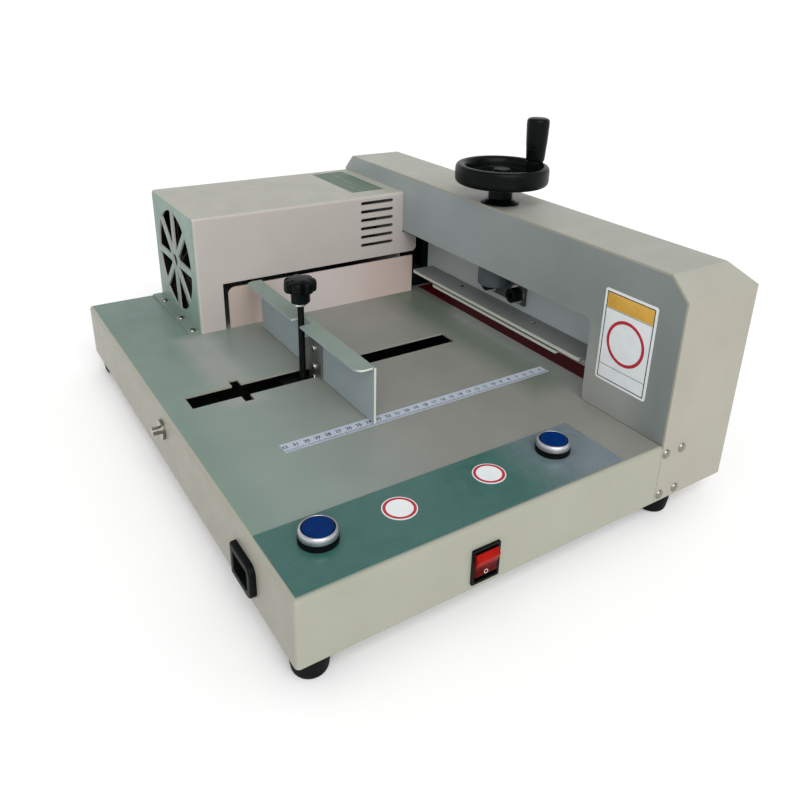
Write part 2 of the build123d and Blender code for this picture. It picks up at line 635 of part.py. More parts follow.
MOTOR_X = (HOUSE_X + SHEET + FAN_DEEP + MOTOR_ROOM, BOX_X[0])

# Plates, rule, screws, feet and what is under the table
BOTTOM_EDGE = 4.0
BOTTOM_X = (BOTTOM_EDGE, RIGHT - BOTTOM_EDGE)
BOTTOM_Y = (BOTTOM_EDGE, DEPTH - BOTTOM_EDGE)
FOOT_LEFT = 18.5
FOOT_RIGHT = 23.5
FOOT_ENDS = 19.5
FEET_X = (FOOT_LEFT, BASE_WIDTH + FOOT_RIGHT)
FEET_Y = (FOOT_ENDS, DEPTH - FOOT_ENDS)
FOOT_RADIUS = 15.4
FOOT_SHARES = ((1.0, 1.0), (0.955, 0.57), (0.87, 0.143), (0.82, 0.038), (0.75, 0.0))
FOOT_WELL = 7.0
FOOT_WELL_DEEP = 5.0
FOOT_SCREW_HEAD = 5.4
FOOT_SCREW_HIGH = 2.6
FOOT_SCREW_SHANK = 2.5
FOOT_SCREW_UP = 4.0
LABEL_THICK = 0.4
LABEL_FRONT = 27.0
LABEL_WIDE = 58.0
LABEL_UP = 30.5
LABEL_HIGH = 87.5
LABEL_ROUND = 2.5
LABEL_Y = span(LABEL_FRONT, LABEL_WIDE)
LABEL_Z = span(TABLE + LABEL_UP, LABEL_HIGH)
RULER_LONG = 289.0
RULER_OVER = 12.0
RULER_FRONT = 156.0
RULER_WIDE = 13.0
RULER_HIGH = 0.4
RULER_X = (BASE_WIDTH + RULER_OVER - RULER_LONG, BASE_WIDTH + RULER_OVER)
RULER_Y = span(RULER_FRONT, RULER_WIDE)
DOME_RADIUS = 3.9
DOME_HIGH = 2.2
DOME_SHANK = 2.0
DOME_LONG = 8.0
DOME_ROUND = 1.6
BOARD_RIGHT = 53.0
BOARD_LONG = 130.0
BOARD_GAP = 42.0
BOARD_DEEP = 110.0
BOARD_HIGH = 37.0
BOARD_ROUND = 4.0
BOARD_RIBS = 6
BOARD_RIB_WIDE = 3.0
BOARD_RIB_DEEP = 1.5
BOARD_X = (BASE_WIDTH - BOARD_RIGHT - BOARD_LONG, BASE_WIDTH - BOARD_RIGHT)
BOARD_Y = span(FENCE_SLOT_Y[1] + BOARD_GAP, BOARD_DEEP)
BOARD_TOP = UNDERSIDE + BOARD_HIGH

parts = {}


def base_shell():
    """Folded base with the table top, which runs on through the gate as a tongue."""
    right = BASE_WIDTH - SEAM
    outer = block(0, BASE_WIDTH, 0, DEPTH, UNDERSIDE, TABLE)
    inner = block(SHEET, BASE_WIDTH + PAST, SHEET, DEPTH - SHEET, UNDERSIDE + SHEET, TABLE - SHEET)
    shapes = []
    for shape, radius in ((outer, BEND), (inner, BEND - SHEET)):
        ups = shape.edges().filter_by(Axis.Z).sort_by(Axis.X)[:2]
        alongs = top_edges(shape, Axis.X)
        left = shape.edges().filter_by(Axis.Y).sort_by(Axis.Z)[-2:].sort_by(Axis.X)[:1]
        shapes.append(fillet(ups + alongs + left, radius))
    shell = shapes[0] - shapes[1]
    shell -= block(SHEET + LIP, BASE_WIDTH + PAST, SHEET + LIP, DEPTH - SHEET - LIP,
                   UNDERSIDE - PAST, UNDERSIDE + SHEET + PAST)
    shell -= block(right, BASE_WIDTH + PAST, -PAST, DEPTH + PAST, UNDERSIDE - PAST, TABLE + PAST)
    shell += block(right - PAST, RIGHT - SHEET, TONGUE_Y[0], TONGUE_Y[1], TABLE - SHEET, TABLE)
    low, high = TABLE - SHEET - PAST, TABLE + PAST
    shell -= block(STICK_X[0], STICK_X[1], WINDOW_Y[0], WINDOW_Y[1], low, high)
    shell -= block(FENCE_SLOT_X[0], FENCE_SLOT_X[1], FENCE_SLOT_Y[0], FENCE_SLOT_Y[1], low, high)
    shell -= block(NOTCH_X[0], NOTCH_X[1], NOTCH_Y[0], NOTCH_Y[1], low, high)
    for x in BUTTONS_X:
        shell -= post(BUTTON_HOLE, x, BUTTON_Y, low, high)
    shell -= bar_x(SLEEVE_RADIUS + FIT, -PAST, SHEET + PAST, GAUGE_Y, ROD_Z)
    wide, high = (size * HALF_SHARE + FIT for size in INLET_BODY)
    shell -= block(-PAST, SHEET + PAST, INLET_AT - wide, INLET_AT + wide, INLET_Z - high, INLET_Z + high)
    wide, high = (size * HALF_SHARE + FIT for size in ROCKER_BODY)
    shell -= block(ROCKER_X - wide, ROCKER_X + wide, -PAST, SHEET + PAST, ROCKER_Z - high, ROCKER_Z + high)
    for y in HOUSE_SCREWS_Y:
        shell -= post(DOME_SHANK + FIT, HOUSE_SCREW_X, y, TABLE - SHEET - PAST, TABLE + PAST)
    return shell


def gate_profile(inset):
    """(y, z) outline of the gate, and how far its chamfers move when it is set in."""
    run, rise = CHAMFER_IN, CHAMFER_DOWN
    slope = hypot(run, rise)
    shoulder = GATE_TOP - rise - inset * (slope - rise) / run
    crown = run + inset * (slope - run) / rise
    foot = UNDERSIDE + inset
    return [(inset, foot), (inset, shoulder), (crown, GATE_TOP - inset), (DEPTH - crown, GATE_TOP - inset),
            (DEPTH - inset, shoulder), (DEPTH - inset, foot)]


def gate_cover():
    """Folded front, top and back of the gate with its four slanted faces."""
    run, rise = CHAMFER_RIGHT, CHAMFER_DOWN
    slope = hypot(run, rise)
    shoulder = GATE_TOP - rise
    shoulder_in = shoulder - SHEET * (slope - rise) / run
    crown_in = RIGHT - run - SHEET * (slope - run) / rise
    front = [(BASE_WIDTH, UNDERSIDE), (RIGHT, UNDERSIDE), (RIGHT, shoulder), (RIGHT - run, GATE_TOP),
             (BASE_WIDTH, GATE_TOP)]
    outer = plate_x(gate_profile(0), BASE_WIDTH, RIGHT) & plate_y(front, 0, DEPTH)
    front_in = [(BASE_WIDTH - PAST, UNDERSIDE - PAST), (RIGHT + PAST, UNDERSIDE - PAST),
                (RIGHT + PAST, shoulder_in), (RIGHT - SHEET, shoulder_in), (crown_in, GATE_TOP - SHEET),
                (BASE_WIDTH - PAST, GATE_TOP - SHEET)]
    side_in = gate_profile(SHEET)
    side_in[0] = (SHEET, UNDERSIDE - PAST)
    side_in[-1] = (DEPTH - SHEET, UNDERSIDE - PAST)
    inner = plate_x(side_in, BASE_WIDTH - PAST, RIGHT + PAST) & plate_y(front_in, 0, DEPTH)
    cover = outer - inner
    for y in (SHEET, DEPTH - SHEET - LIP):
        cover += block(BASE_WIDTH + SHEET, RIGHT - SHEET, y, y + LIP, UNDERSIDE, UNDERSIDE + SHEET)
    cover -= post(BUSH_RADIUS + FIT, AXIS_X, AXIS_Y, GATE_TOP - SHEET - PAST, GATE_TOP + PAST)
    for x, z in GATE_SCREWS:
        cover -= bar_y(DOME_SHANK + FIT, x, -PAST, SHEET + PAST, z)
    return cover


def window_panel():
    """Flat inner side of the gate with the window that the paper goes through."""
    x0, x1 = BASE_WIDTH, BASE_WIDTH + SHEET
    panel = plate_x(gate_profile(SHEET), x0, x1)
    window = block(x0 - PAST, x1 + PAST, WINDOW_Y[0], WINDOW_Y[1], TABLE - SHEET, WINDOW_TOP)
    window = fillet(top_edges(window, Axis.X), WINDOW_ROUND)
    panel -= window
    panel -= block(x0 - PAST, x1 + PAST, TONGUE_Y[0], TONGUE_Y[1], TABLE - SHEET, TABLE)
    steps = FLANK_STEPS
    flare = [(WINDOW_Y[0] + PAST, TABLE), (WINDOW_Y[0] + PAST, TABLE + WINDOW_FLARE_UP)]
    for i in range(steps + 1):
        turn = i / steps * pi * HALF_SHARE
        flare.append((WINDOW_Y[0] - WINDOW_FLARE * (1 - cos(turn)),
                      TABLE + WINDOW_FLARE_UP * (1 - sin(turn))))
    panel -= plate_x(flare, x0 - PAST, x1 + PAST)
    panel -= bar_x(SHAFT_HOLE, x0 - PAST, x1 + PAST, GEAR_Y, GEAR_Z)
    return panel


def side_panel():
    """Outer side of the gate with the opening that trimmings leave by."""
    x0, x1 = RIGHT - SHEET, RIGHT
    slope = hypot(CHAMFER_RIGHT, CHAMFER_DOWN)
    top = GATE_TOP - CHAMFER_DOWN - SHEET * (slope - CHAMFER_DOWN) / CHAMFER_RIGHT
    panel = block(x0, x1, SHEET, DEPTH - SHEET, UNDERSIDE, top)
    hole = block(x0 - PAST, x1 + PAST, WINDOW_Y[0], WINDOW_Y[1], TABLE, OFFCUT_TOP)
    return panel - fillet(top_edges(hole, Axis.X), WINDOW_ROUND)


def gate_cheeks():
    """Two thick uprights with a groove each for the ends of the clamp."""
    x0, x1 = CHEEK_X
    front = block(x0, x1, CHEEK_FRONT_Y[0], CHEEK_FRONT_Y[1], UNDERSIDE, CHEEK_TOP)
    back = block(x0, x1, CHEEK_BACK_Y[0], CHEEK_BACK_Y[1], UNDERSIDE, CHEEK_TOP)
    inner = CHEEK_FRONT_Y[1]
    front -= block(GROOVE_X[0], GROOVE_X[1], inner - GROOVE_DEEP, inner + PAST, GROOVE_FOOT, CHEEK_TOP + PAST)
    inner = CHEEK_BACK_Y[0]
    back -= block(GROOVE_X[0], GROOVE_X[1], inner - PAST, inner + GROOVE_DEEP, GROOVE_FOOT, CHEEK_TOP + PAST)
    front -= bar_x(GUIDE_RADIUS + FIT, GUIDE_TIP, x1 + PAST, GUIDES_Y[0], GUIDE_Z)
    back -= bar_x(GUIDE_RADIUS + FIT, GUIDE_TIP, x1 + PAST, GUIDES_Y[1], GUIDE_Z)
    return Compound(children=[front, back])


def cross_beam():
    """Bar between the uprights that carries the clamp's screw."""
    beam = block(BEAM_X[0], BEAM_X[1], CHEEK_FRONT_Y[1], CHEEK_BACK_Y[0], BEAM_FOOT, GATE_TOP - SHEET)
    return beam - post(BUSH_RADIUS + FIT, AXIS_X, AXIS_Y, BEAM_FOOT - PAST, GATE_TOP + PAST)


def table_bed():
    """Bar under the table with the groove for the cutting stick."""
    bed = block(BED_X[0], BED_X[1], CHEEK_FRONT_Y[1], CHEEK_BACK_Y[0], BED_FOOT, TABLE - SHEET)
    return bed - block(STICK_X[0], STICK_X[1], WINDOW_Y[0], WINDOW_Y[1], TABLE - STICK_HIGH, TABLE)


def clamp_beam():
    """Angle that presses the stack down, with a guide at each end."""
    web = block(CLAMP_WEB_X[0], CLAMP_WEB_X[1], CLAMP_WEB_Y[0], CLAMP_WEB_Y[1], CLAMP_FOOT, CLAMP_TOP)
    lip = block(CLAMP_FRONT, CLAMP_WEB_X[1], CLAMP_LIP_Y[0], CLAMP_LIP_Y[1],
                CLAMP_FOOT, CLAMP_FOOT + CLAMP_LIP_HIGH)
    lip = fillet(lip.edges().filter_by(Axis.Z).sort_by(Axis.X)[:2], CLAMP_LIP_ROUND)
    beam = web + lip
    x0, x1 = GROOVE_X[0] + SLIDE_GAP, GROOVE_X[1] - SLIDE_GAP
    ends = ((CHEEK_FRONT_Y[1] - GROOVE_DEEP + SLIDE_GAP, CLAMP_WEB_Y[0]),
            (CLAMP_WEB_Y[1], CHEEK_BACK_Y[0] + GROOVE_DEEP - SLIDE_GAP))
    for y0, y1 in ends:
        beam += block(x0, x1, y0, y1, CLAMP_FOOT, CLAMP_TOP)
    high = CLAMP_FOOT + CLAMP_LIP_HIGH
    for share in CLAMP_MARK_SHARES:
        y = CLAMP_LIP_Y[0] + share * (CLAMP_LIP_Y[1] - CLAMP_LIP_Y[0])
        beam -= post(CLAMP_MARK_RADIUS, CLAMP_FRONT + CLAMP_MARK_IN, y, high - CLAMP_MARK_DEEP, high + PAST)
    for y in BOSS_BOLTS_Y:
        beam -= bar_x(BOSS_BOLT_SHANK + FIT, CLAMP_WEB_X[0] - PAST, CLAMP_WEB_X[1] + PAST, y, BOSS_BOLT_Z)
    return beam


def clamp_pad():
    """Thin sole under the clamp, held on a riser set back from its edge."""
    sole = block(CLAMP_FRONT, PAD_BACK, PAD_Y[0], PAD_Y[1], PAD_Z[0], PAD_Z[1])
    return sole + block(PAD_RISER, PAD_BACK, PAD_Y[0], PAD_Y[1], PAD_Z[1], CLAMP_FOOT)


def screw_boss():
    """Blind nut housing on the clamp: thread at its top, a well under it."""
    boss = post(BOSS_RADIUS, AXIS_X, AXIS_Y, BOSS_Z[0], BOSS_Z[1])
    boss = fillet(boss.edges().sort_by(Axis.Z)[:1], BOSS_ROUND)
    boss += block(BOSS_PAD_X, CLAMP_WEB_X[0], BOSS_PAD_Y[0], BOSS_PAD_Y[1], BOSS_PAD_Z[0], BOSS_PAD_Z[1])
    boss += block(BOSS_PLATE_X, CLAMP_WEB_X[0], BOSS_PLATE_Y[0], BOSS_PLATE_Y[1],
                  BOSS_PLATE_Z[0], BOSS_PLATE_Z[1])
    boss -= post(BOSS_WELL, AXIS_X, AXIS_Y, BOSS_Z[0] + BOSS_FLOOR, BOSS_NUT_FOOT)
    boss -= post(SCREW_RADIUS + FIT, AXIS_X, AXIS_Y, BOSS_NUT_FOOT, BOSS_Z[1] + PAST)
    for y in BOSS_BOLTS_Y:
        boss -= bar_x(BOSS_BOLT_SHANK + FIT, BOSS_PLATE_X - PAST, CLAMP_WEB_X[1], y, BOSS_BOLT_Z)
    return boss


def boss_bolts():
    """Two bolts with washers that hold the nut housing on the clamp."""
    bolts = []
    for y in BOSS_BOLTS_Y:
        face = BOSS_PLATE_X
        washer = bar_x(BOSS_BOLT_WASHER, face - BOSS_BOLT_WASHER_HIGH, face, y, BOSS_BOLT_Z)
        back = face - BOSS_BOLT_WASHER_HIGH
        head = bar_x(BOSS_BOLT_HEAD, back - BOSS_BOLT_HIGH, back, y, BOSS_BOLT_Z)
        socket = bar_x(BOSS_BOLT_SHANK, back - BOSS_BOLT_HIGH - PAST, back - PAST, y, BOSS_BOLT_Z)
        shank = bar_x(BOSS_BOLT_SHANK, face, CLAMP_WEB_X[1], y, BOSS_BOLT_Z)
        bolts.append(washer + head - socket + shank)
    return Compound(children=bolts)


def screw_bush():
    """Flanged bush on the gate's top that the screw turns in."""
    bush = post(BUSH_RADIUS, AXIS_X, AXIS_Y, BEAM_FOOT, GATE_TOP)
    bush -= post(SCREW_RADIUS + FIT, AXIS_X, AXIS_Y, BEAM_FOOT - PAST, GATE_TOP + PAST)
    bore = SCREW_RADIUS + FIT
    flange = [(bore, GATE_TOP)]
    flange += outline_of(BUSH_SHARES, (0, GATE_TOP), (BUSH_FLANGE_RADIUS, BUSH_HIGH))
    flange.append((bore, GATE_TOP + BUSH_HIGH))
    return bush + turned(flange, AXIS_X, AXIS_Y)


def clamp_screw():
    """Screw of the clamp with its collar and the neck that carries the wheel."""
    screw = post(SCREW_RADIUS, AXIS_X, AXIS_Y, SCREW_TIP, WHEEL_FOOT)
    screw += post(SCREW_COLLAR, AXIS_X, AXIS_Y, SCREW_COLLAR_Z[0], SCREW_COLLAR_Z[1])
    screw += post(SCREW_NECK, AXIS_X, AXIS_Y, WHEEL_FOOT, WHEEL_HUB_TOP)
    cap = post(WHEEL_CAP_RADIUS, AXIS_X, AXIS_Y, WHEEL_HUB_TOP, WHEEL_HUB_TOP + WHEEL_CAP_HIGH)
    return screw + fillet(cap.edges().sort_by(Axis.Z)[-1:], WHEEL_CAP_ROUND)


def handwheel():
    """Dished wheel with a heavy rim and a seat for the grip."""
    bore = SCREW_NECK + FIT
    outline = [(bore, WHEEL_FOOT)]
    outline += outline_of(WHEEL_SHARES, (0, WHEEL_FOOT), (WHEEL_RADIUS, WHEEL_HIGH))
    wheel = turned(outline + [(bore, WHEEL_HUB_TOP)], AXIS_X, AXIS_Y)
    wheel += post(GRIP_SEAT_RADIUS, GRIP_X, GRIP_Y, GRIP_SEAT_Z[0], GRIP_SEAT_Z[1])
    return wheel - post(GRIP_PIN_RADIUS + FIT, GRIP_X, GRIP_Y, GRIP_PIN_Z[0], GRIP_SEAT_Z[1] + PAST)


def handle_grip():
    """Pear-shaped grip with a blind bore for its pin."""
    bore = GRIP_PIN_RADIUS + FIT
    foot = GRIP_SEAT + CLEAR
    bore_end = GRIP_PIN_Z[1] + GRIP_PIN_END
    outline = [(bore, foot)] + outline_of(GRIP_SHARES, (0, foot), (GRIP_RADIUS, GRIP_HIGH))
    return turned(outline + [(0, bore_end), (bore, bore_end)], GRIP_X, GRIP_Y)


def knife_carrier():
    """Plate that holds the knife and slides on two bolts."""
    x0, x1 = CARRIER_X
    plate = block(x0, x1, CARRIER_Y[0], CARRIER_Y[1], CARRIER_Z[0], CARRIER_Z[1])
    plate = fillet(plate.edges().filter_by(Axis.X).sort_by(Axis.Y)[:2], CARRIER_ROUND)
    radius = GUIDE_RADIUS + FIT
    high = GUIDE_Z + KNIFE_TRAVEL + GUIDE_SLOT_SPARE
    low = GUIDE_Z - GUIDE_SLOT_SPARE
    for y in GUIDES_Y:
        slot = block(x0 - PAST, x1 + PAST, y - radius, y + radius, low, high)
        slot += bar_x(radius, x0 - PAST, x1 + PAST, y, low)
        slot += bar_x(radius, x0 - PAST, x1 + PAST, y, high)
        plate -= slot
    for y in BLADE_SCREWS_Y:
        plate -= bar_x(BLADE_SCREW_SHANK + FIT, x0 - PAST, x1 + PAST, y, BLADE_SCREW_Z)
    return plate


def blade():
    """Knife with one bevel, flat on the clamp's side."""
    back = CARRIER_X[0]
    outline = [(BLADE_FACE, BLADE_EDGE), (back, BLADE_EDGE + BLADE_BEVEL), (back, BLADE_TOP),
               (BLADE_FACE, BLADE_TOP)]
    knife = plate_y(outline, BLADE_Y[0], BLADE_Y[1])
    for y in BLADE_SCREWS_Y:
        knife -= bar_x(BLADE_SCREW_SHANK + FIT, BLADE_FACE - PAST, back + PAST, y, BLADE_SCREW_Z)
    return knife


def headed_x(head, high, shank, tip, face, y, z):
    """Bolt along x whose head sits on a face and whose shank runs left to its tip."""
    top = bar_x(head, face, face + high, y, z)
    socket = bar_x(shank, face + high * HALF_SHARE, face + high + PAST, y, z)
    return top - socket + bar_x(shank, tip, face, y, z)


def rack():
    """Toothed bar on the back end of the knife carrier."""
    pitch = GEAR_PITCH
    line = GEAR_Y - GEAR_MODULE * GEAR_TEETH * HALF_SHARE
    tip = line + ADDENDUM_SHARE * GEAR_MODULE
    root = line - DEDENDUM_SHARE * GEAR_MODULE
    half = (pitch - BACKLASH) * HALF_SHARE * HALF_SHARE
    first = GEAR_Z - pitch * round((GEAR_Z - RACK_LOW) / pitch)
    outline = [(CARRIER_Y[1], first - pitch * HALF_SHARE)]
    for i in range(RACK_TEETH):
        middle = first + pitch * i
        low = half + (line - root) * tan(PRESSURE)
        high = half - (tip - line) * tan(PRESSURE)
        outline += [(root, middle - low), (tip, middle - high), (tip, middle + high), (root, middle + low)]
    outline.append((CARRIER_Y[1], first + pitch * (RACK_TEETH - HALF_SHARE)))
    return plate_x(outline, RACK_X[0], RACK_X[1])


def pinion():
    """Spur gear that drives the rack: involute flanks, a gap of it facing each rack tooth."""
    pitch_radius = GEAR_MODULE * GEAR_TEETH * HALF_SHARE
    base = pitch_radius * cos(PRESSURE)
    tip = pitch_radius + ADDENDUM_SHARE * GEAR_MODULE
    root = pitch_radius - DEDENDUM_SHARE * GEAR_MODULE
    tooth = (GEAR_PITCH - BACKLASH) * HALF_SHARE * HALF_SHARE / pitch_radius
    start = tooth + tan(PRESSURE) - PRESSURE
    step = 2 * pi / GEAR_TEETH
    outline = []
    for i in range(GEAR_TEETH):
        middle = pi + (i + HALF_SHARE) * step
        flank = []
        for k in range(FLANK_STEPS + 1):
            radius = base + (tip - base) * k / FLANK_STEPS
            roll = sqrt(max(0.0, (radius / base) ** 2 - 1))
            flank.append((radius, start - (roll - atan(roll))))
        side = [(root, flank[0][1])] + flank
        turns = [(r, middle - a) for r, a in side] + [(r, middle + a) for r, a in reversed(side)]
        outline += [(GEAR_Y + r * cos(a), GEAR_Z + r * sin(a)) for r, a in turns]
    gear = plate_x(outline, RACK_X[0], RACK_X[1])
    return gear - bar_x(SHAFT_RADIUS + FIT, RACK_X[0] - PAST, RACK_X[1] + PAST, GEAR_Y, GEAR_Z)


def bearing_plate():
    """Upright behind the gate's back cheek that carries the shaft."""
    plate = block(BEARING_X[0], BEARING_X[1], BEARING_Y[0], BEARING_Y[1], BEARING_Z[0], BEARING_Z[1])
    return plate - bar_x(SHAFT_RADIUS + FIT, BEARING_X[0] - PAST, BEARING_X[1] + PAST, GEAR_Y, GEAR_Z)


def gearbox():
    """Gearbox on two feet and a sole."""
    box = block(BOX_X[0], BOX_X[1], BOX_Y[0], BOX_Y[1], BOX_Z[0], BOX_Z[1])
    box = fillet(box.edges().filter_by(Axis.X), BOX_ROUND)
    sole_top = TABLE + BOX_SOLE_THICK
    box += block(BOX_X[0], BOX_X[1], BOX_Y[0] - BOX_SOLE_OUT, BOX_Y[1] + BOX_SOLE_OUT, TABLE, sole_top)
    for low, high in BOX_FEET_X:
        box += block(low, high, BOX_Y[0] + BOX_ROUND, BOX_Y[1] - BOX_ROUND, sole_top, BOX_Z[0])
    box += bar_x(BOX_RING, BOX_X[1], BOX_X[1] + BOX_RING_DEEP, GEAR_Y, GEAR_Z)
    return box - bar_x(SHAFT_RADIUS + FIT, SHAFT_X[0], BOX_X[1] + BOX_RING_DEEP + PAST, GEAR_Y, GEAR_Z)


def motor():
    """Round motor with cooling fins, bolted on the gearbox."""
    body = bar_x(MOTOR_RADIUS - MOTOR_FIN_DEEP, MOTOR_X[0] + MOTOR_END_DEEP, MOTOR_X[1], GEAR_Y, GEAR_Z)
    body += bar_x(MOTOR_END, MOTOR_X[0], MOTOR_X[0] + MOTOR_END_DEEP, GEAR_Y, GEAR_Z)
    half = MOTOR_FIN_WIDE * HALF_SHARE
    fin = block(MOTOR_X[0] + MOTOR_END_DEEP, MOTOR_X[1] - MOTOR_END_DEEP, -half, half,
                MOTOR_RADIUS - 2 * MOTOR_FIN_DEEP, MOTOR_RADIUS)
    for i in range(MOTOR_FINS):
        body += Pos(0, GEAR_Y, GEAR_Z) * Rot(FULL_TURN * i / MOTOR_FINS, 0, 0) * fin
    return body


def housing():
    """Motor cover: front, top, back and the left side with the fan's grille."""
    box = block(HOUSE_X, BASE_WIDTH, HOUSE_Y, DEPTH, TABLE, HOUSE_TOP)
    hollow = block(HOUSE_X + SHEET, BASE_WIDTH + PAST, HOUSE_Y + SHEET, DEPTH - SHEET,
                   TABLE - PAST, HOUSE_TOP - SHEET)
    shapes = []
    for shape, radius in ((box, BEND), (hollow, BEND - SHEET)):
        ups = shape.edges().filter_by(Axis.Z).sort_by(Axis.X)[:2]
        left = shape.edges().filter_by(Axis.Y).sort_by(Axis.Z)[-2:].sort_by(Axis.X)[:1]
        shapes.append(fillet(ups + top_edges(shape, Axis.X) + left, radius))
    cover = shapes[0] - shapes[1]
    cover -= block(HOUSE_GAP_X, BASE_WIDTH + PAST, HOUSE_Y - PAST, HOUSE_Y + BEND + PAST,
                   TABLE - PAST, HOUSE_GAP_TOP)
    tab = outline_of(TAB_SHARES, (BASE_WIDTH, HOUSE_GAP_TOP), TAB_SIZE)
    cover += plate_y(tab, HOUSE_Y, HOUSE_Y + SHEET)
    cover += block(HOUSE_LIP_X, HOUSE_X + SHEET, HOUSE_LIP_Y[0], HOUSE_LIP_Y[1], TABLE, TABLE + SHEET)
    for i in range(VENTS):
        cover -= slot_x(VENT_X[0], VENT_X[1], HOUSE_Y, VENT_TOP - VENT_PITCH * i, VENT_WIDE, PAST + SHEET)
    for i in range(LOUVRES):
        y = LOUVRE_Y + LOUVRE_PITCH * i
        cover -= block(LOUVRE_X[0], LOUVRE_X[1], y - LOUVRE_WIDE * HALF_SHARE, y + LOUVRE_WIDE * HALF_SHARE,
                       HOUSE_TOP - SHEET - PAST, HOUSE_TOP + PAST)
    wall = (HOUSE_X - PAST, HOUSE_X + SHEET + PAST)
    ring = bar_x(GRILLE_OUT, wall[0], wall[1], FAN_Y, FAN_Z)
    ring -= bar_x(GRILLE_IN, wall[0], wall[1], FAN_Y, FAN_Z)
    half = SPOKE_WIDE * HALF_SHARE
    for i in range(SPOKES):
        turn = FULL_TURN * i / SPOKES
        spoke = block(wall[0], wall[1], -half, half, 0, GRILLE_OUT + PAST)
        ring -= Pos(0, FAN_Y, FAN_Z) * Rot(turn, 0, 0) * spoke
    cover -= ring
    cover -= bar_x(GRILLE_EYE, wall[0], wall[1], FAN_Y, FAN_Z)
    for y in HOUSE_SCREWS_Y:
        cover -= post(DOME_SHANK + FIT, HOUSE_SCREW_X, y, TABLE - PAST, TABLE + SHEET + PAST)
    return cover


def fan_frame():
    """Square fan frame with its core on four struts."""
    x0, x1 = HOUSE_X + SHEET, HOUSE_X + SHEET + FAN_DEEP
    frame = block(x0, x1, FAN_Y - FAN_SIDE, FAN_Y + FAN_SIDE, FAN_Z - FAN_SIDE, FAN_Z + FAN_SIDE)
    frame = fillet(frame.edges().filter_by(Axis.X), BEND)
    frame -= bar_x(FAN_BORE, x0 - PAST, x1 + PAST, FAN_Y, FAN_Z)
    for a in (-FAN_SCREW_AT, FAN_SCREW_AT):
        for b in (-FAN_SCREW_AT, FAN_SCREW_AT):
            frame -= bar_x(FAN_SCREW_RADIUS, x0 - PAST, x1 + PAST, FAN_Y + a, FAN_Z + b)
    core_x = x1 - FAN_CORE_DEEP
    half = FAN_STRUT * HALF_SHARE
    for i in range(FAN_STRUTS):
        turn = FULL_TURN * (i + HALF_SHARE) / FAN_STRUTS
        strut = block(x1 - FAN_STRUT, x1, -half, half, 0, FAN_BORE + half)
        frame += Pos(0, FAN_Y, FAN_Z) * Rot(turn, 0, 0) * strut
    frame += bar_x(FAN_CORE, core_x, x1, FAN_Y, FAN_Z)
    return frame + bar_x(half, core_x - FAN_CORE_DEEP, core_x, FAN_Y, FAN_Z)


def fan_rotor():
    """Fan wheel with slanted blades."""
    x0 = HOUSE_X + SHEET + PAST * HALF_SHARE
    x1 = HOUSE_X + SHEET + FAN_DEEP - FAN_CORE_DEEP - FAN_GAP
    rotor = bar_x(FAN_HUB, x0, x1, FAN_Y, FAN_Z)
    middle = (x0 + x1) * HALF_SHARE
    chord, thick = FAN_BLADE_CHORD * HALF_SHARE, FAN_BLADE_THICK * HALF_SHARE
    space = bar_x(FAN_TIP, x0, x1 - FAN_STRUT * HALF_SHARE, FAN_Y, FAN_Z)
    for i in range(FAN_BLADES):
        vane = block(-chord, chord, -thick, thick, FAN_HUB - FAN_BLADE_THICK, FAN_TIP + PAST)
        turn = FULL_TURN * i / FAN_BLADES
        vane = Pos(middle, FAN_Y, FAN_Z) * Rot(turn, 0, 0) * Rot(0, 0, FAN_BLADE_TILT) * vane
        rotor += vane & space
    return rotor - bar_x(FAN_STRUT * HALF_SHARE + FIT, x1 - FAN_CORE_DEEP, x1 + PAST, FAN_Y, FAN_Z)


def side_fence():
    """Flush plate under the motor cover that the stack's side rests on."""
    plate = block(SIDE_X[0], SIDE_X[1], HOUSE_Y, HOUSE_Y + SHEET, TABLE, SIDE_TOP)
    plate = fillet(top_edges(plate, Axis.Y).sort_by(Axis.X)[:1], SIDE_ROUND)
    return plate + block(SIDE_X[0], SIDE_X[1], HOUSE_Y + SHEET, SIDE_FOOT_Y, TABLE, TABLE + SHEET)


def fence_bores(x0, x1):
    """Bores for all screws of the gauge, over one stretch of x."""
    radius = FENCE_SCREW_SHANK + FIT
    bores = [bar_x(radius, x0 - PAST, x1 + PAST, FENCE_SCREW_Y, z) for z in FENCE_SCREWS_Z]
    return bores + [bar_x(radius, x0 - PAST, x1 + PAST, y, SLIDER_SCREW_Z) for y in SLIDER_SCREWS_Y]


def fence_plate():
    """Back gauge: an upright plate with its top folded to the left."""
    x0, x1 = FENCE_X
    plate = block(x0, x1, FENCE_Y[0], FENCE_Y[1], FENCE_FOOT, FENCE_TOP)
    lip = block(FENCE_LIP_X, x1, FENCE_LIP_Y[0], FENCE_LIP_Y[1], FENCE_TOP - SHEET, FENCE_TOP)
    lip = fillet(lip.edges().filter_by(Axis.Z).sort_by(Axis.X)[:2], FENCE_LIP_ROUND)
    notch = block(FENCE_LIP_X - PAST, FENCE_NOTCH_X, FENCE_NOTCH_Y[0], FENCE_NOTCH_Y[1],
                  FENCE_TOP - SHEET - PAST, FENCE_TOP + PAST)
    lip -= fillet(notch.edges().filter_by(Axis.Z).sort_by(Axis.X)[-2:], FENCE_NOTCH_ROUND)
    fence = plate + lip + block(x0, x1, ANGLE_TAIL_Y[0], ANGLE_TAIL_Y[1], ANGLE_TAIL, FENCE_FOOT)
    return fence - fence_bores(x0, x1)


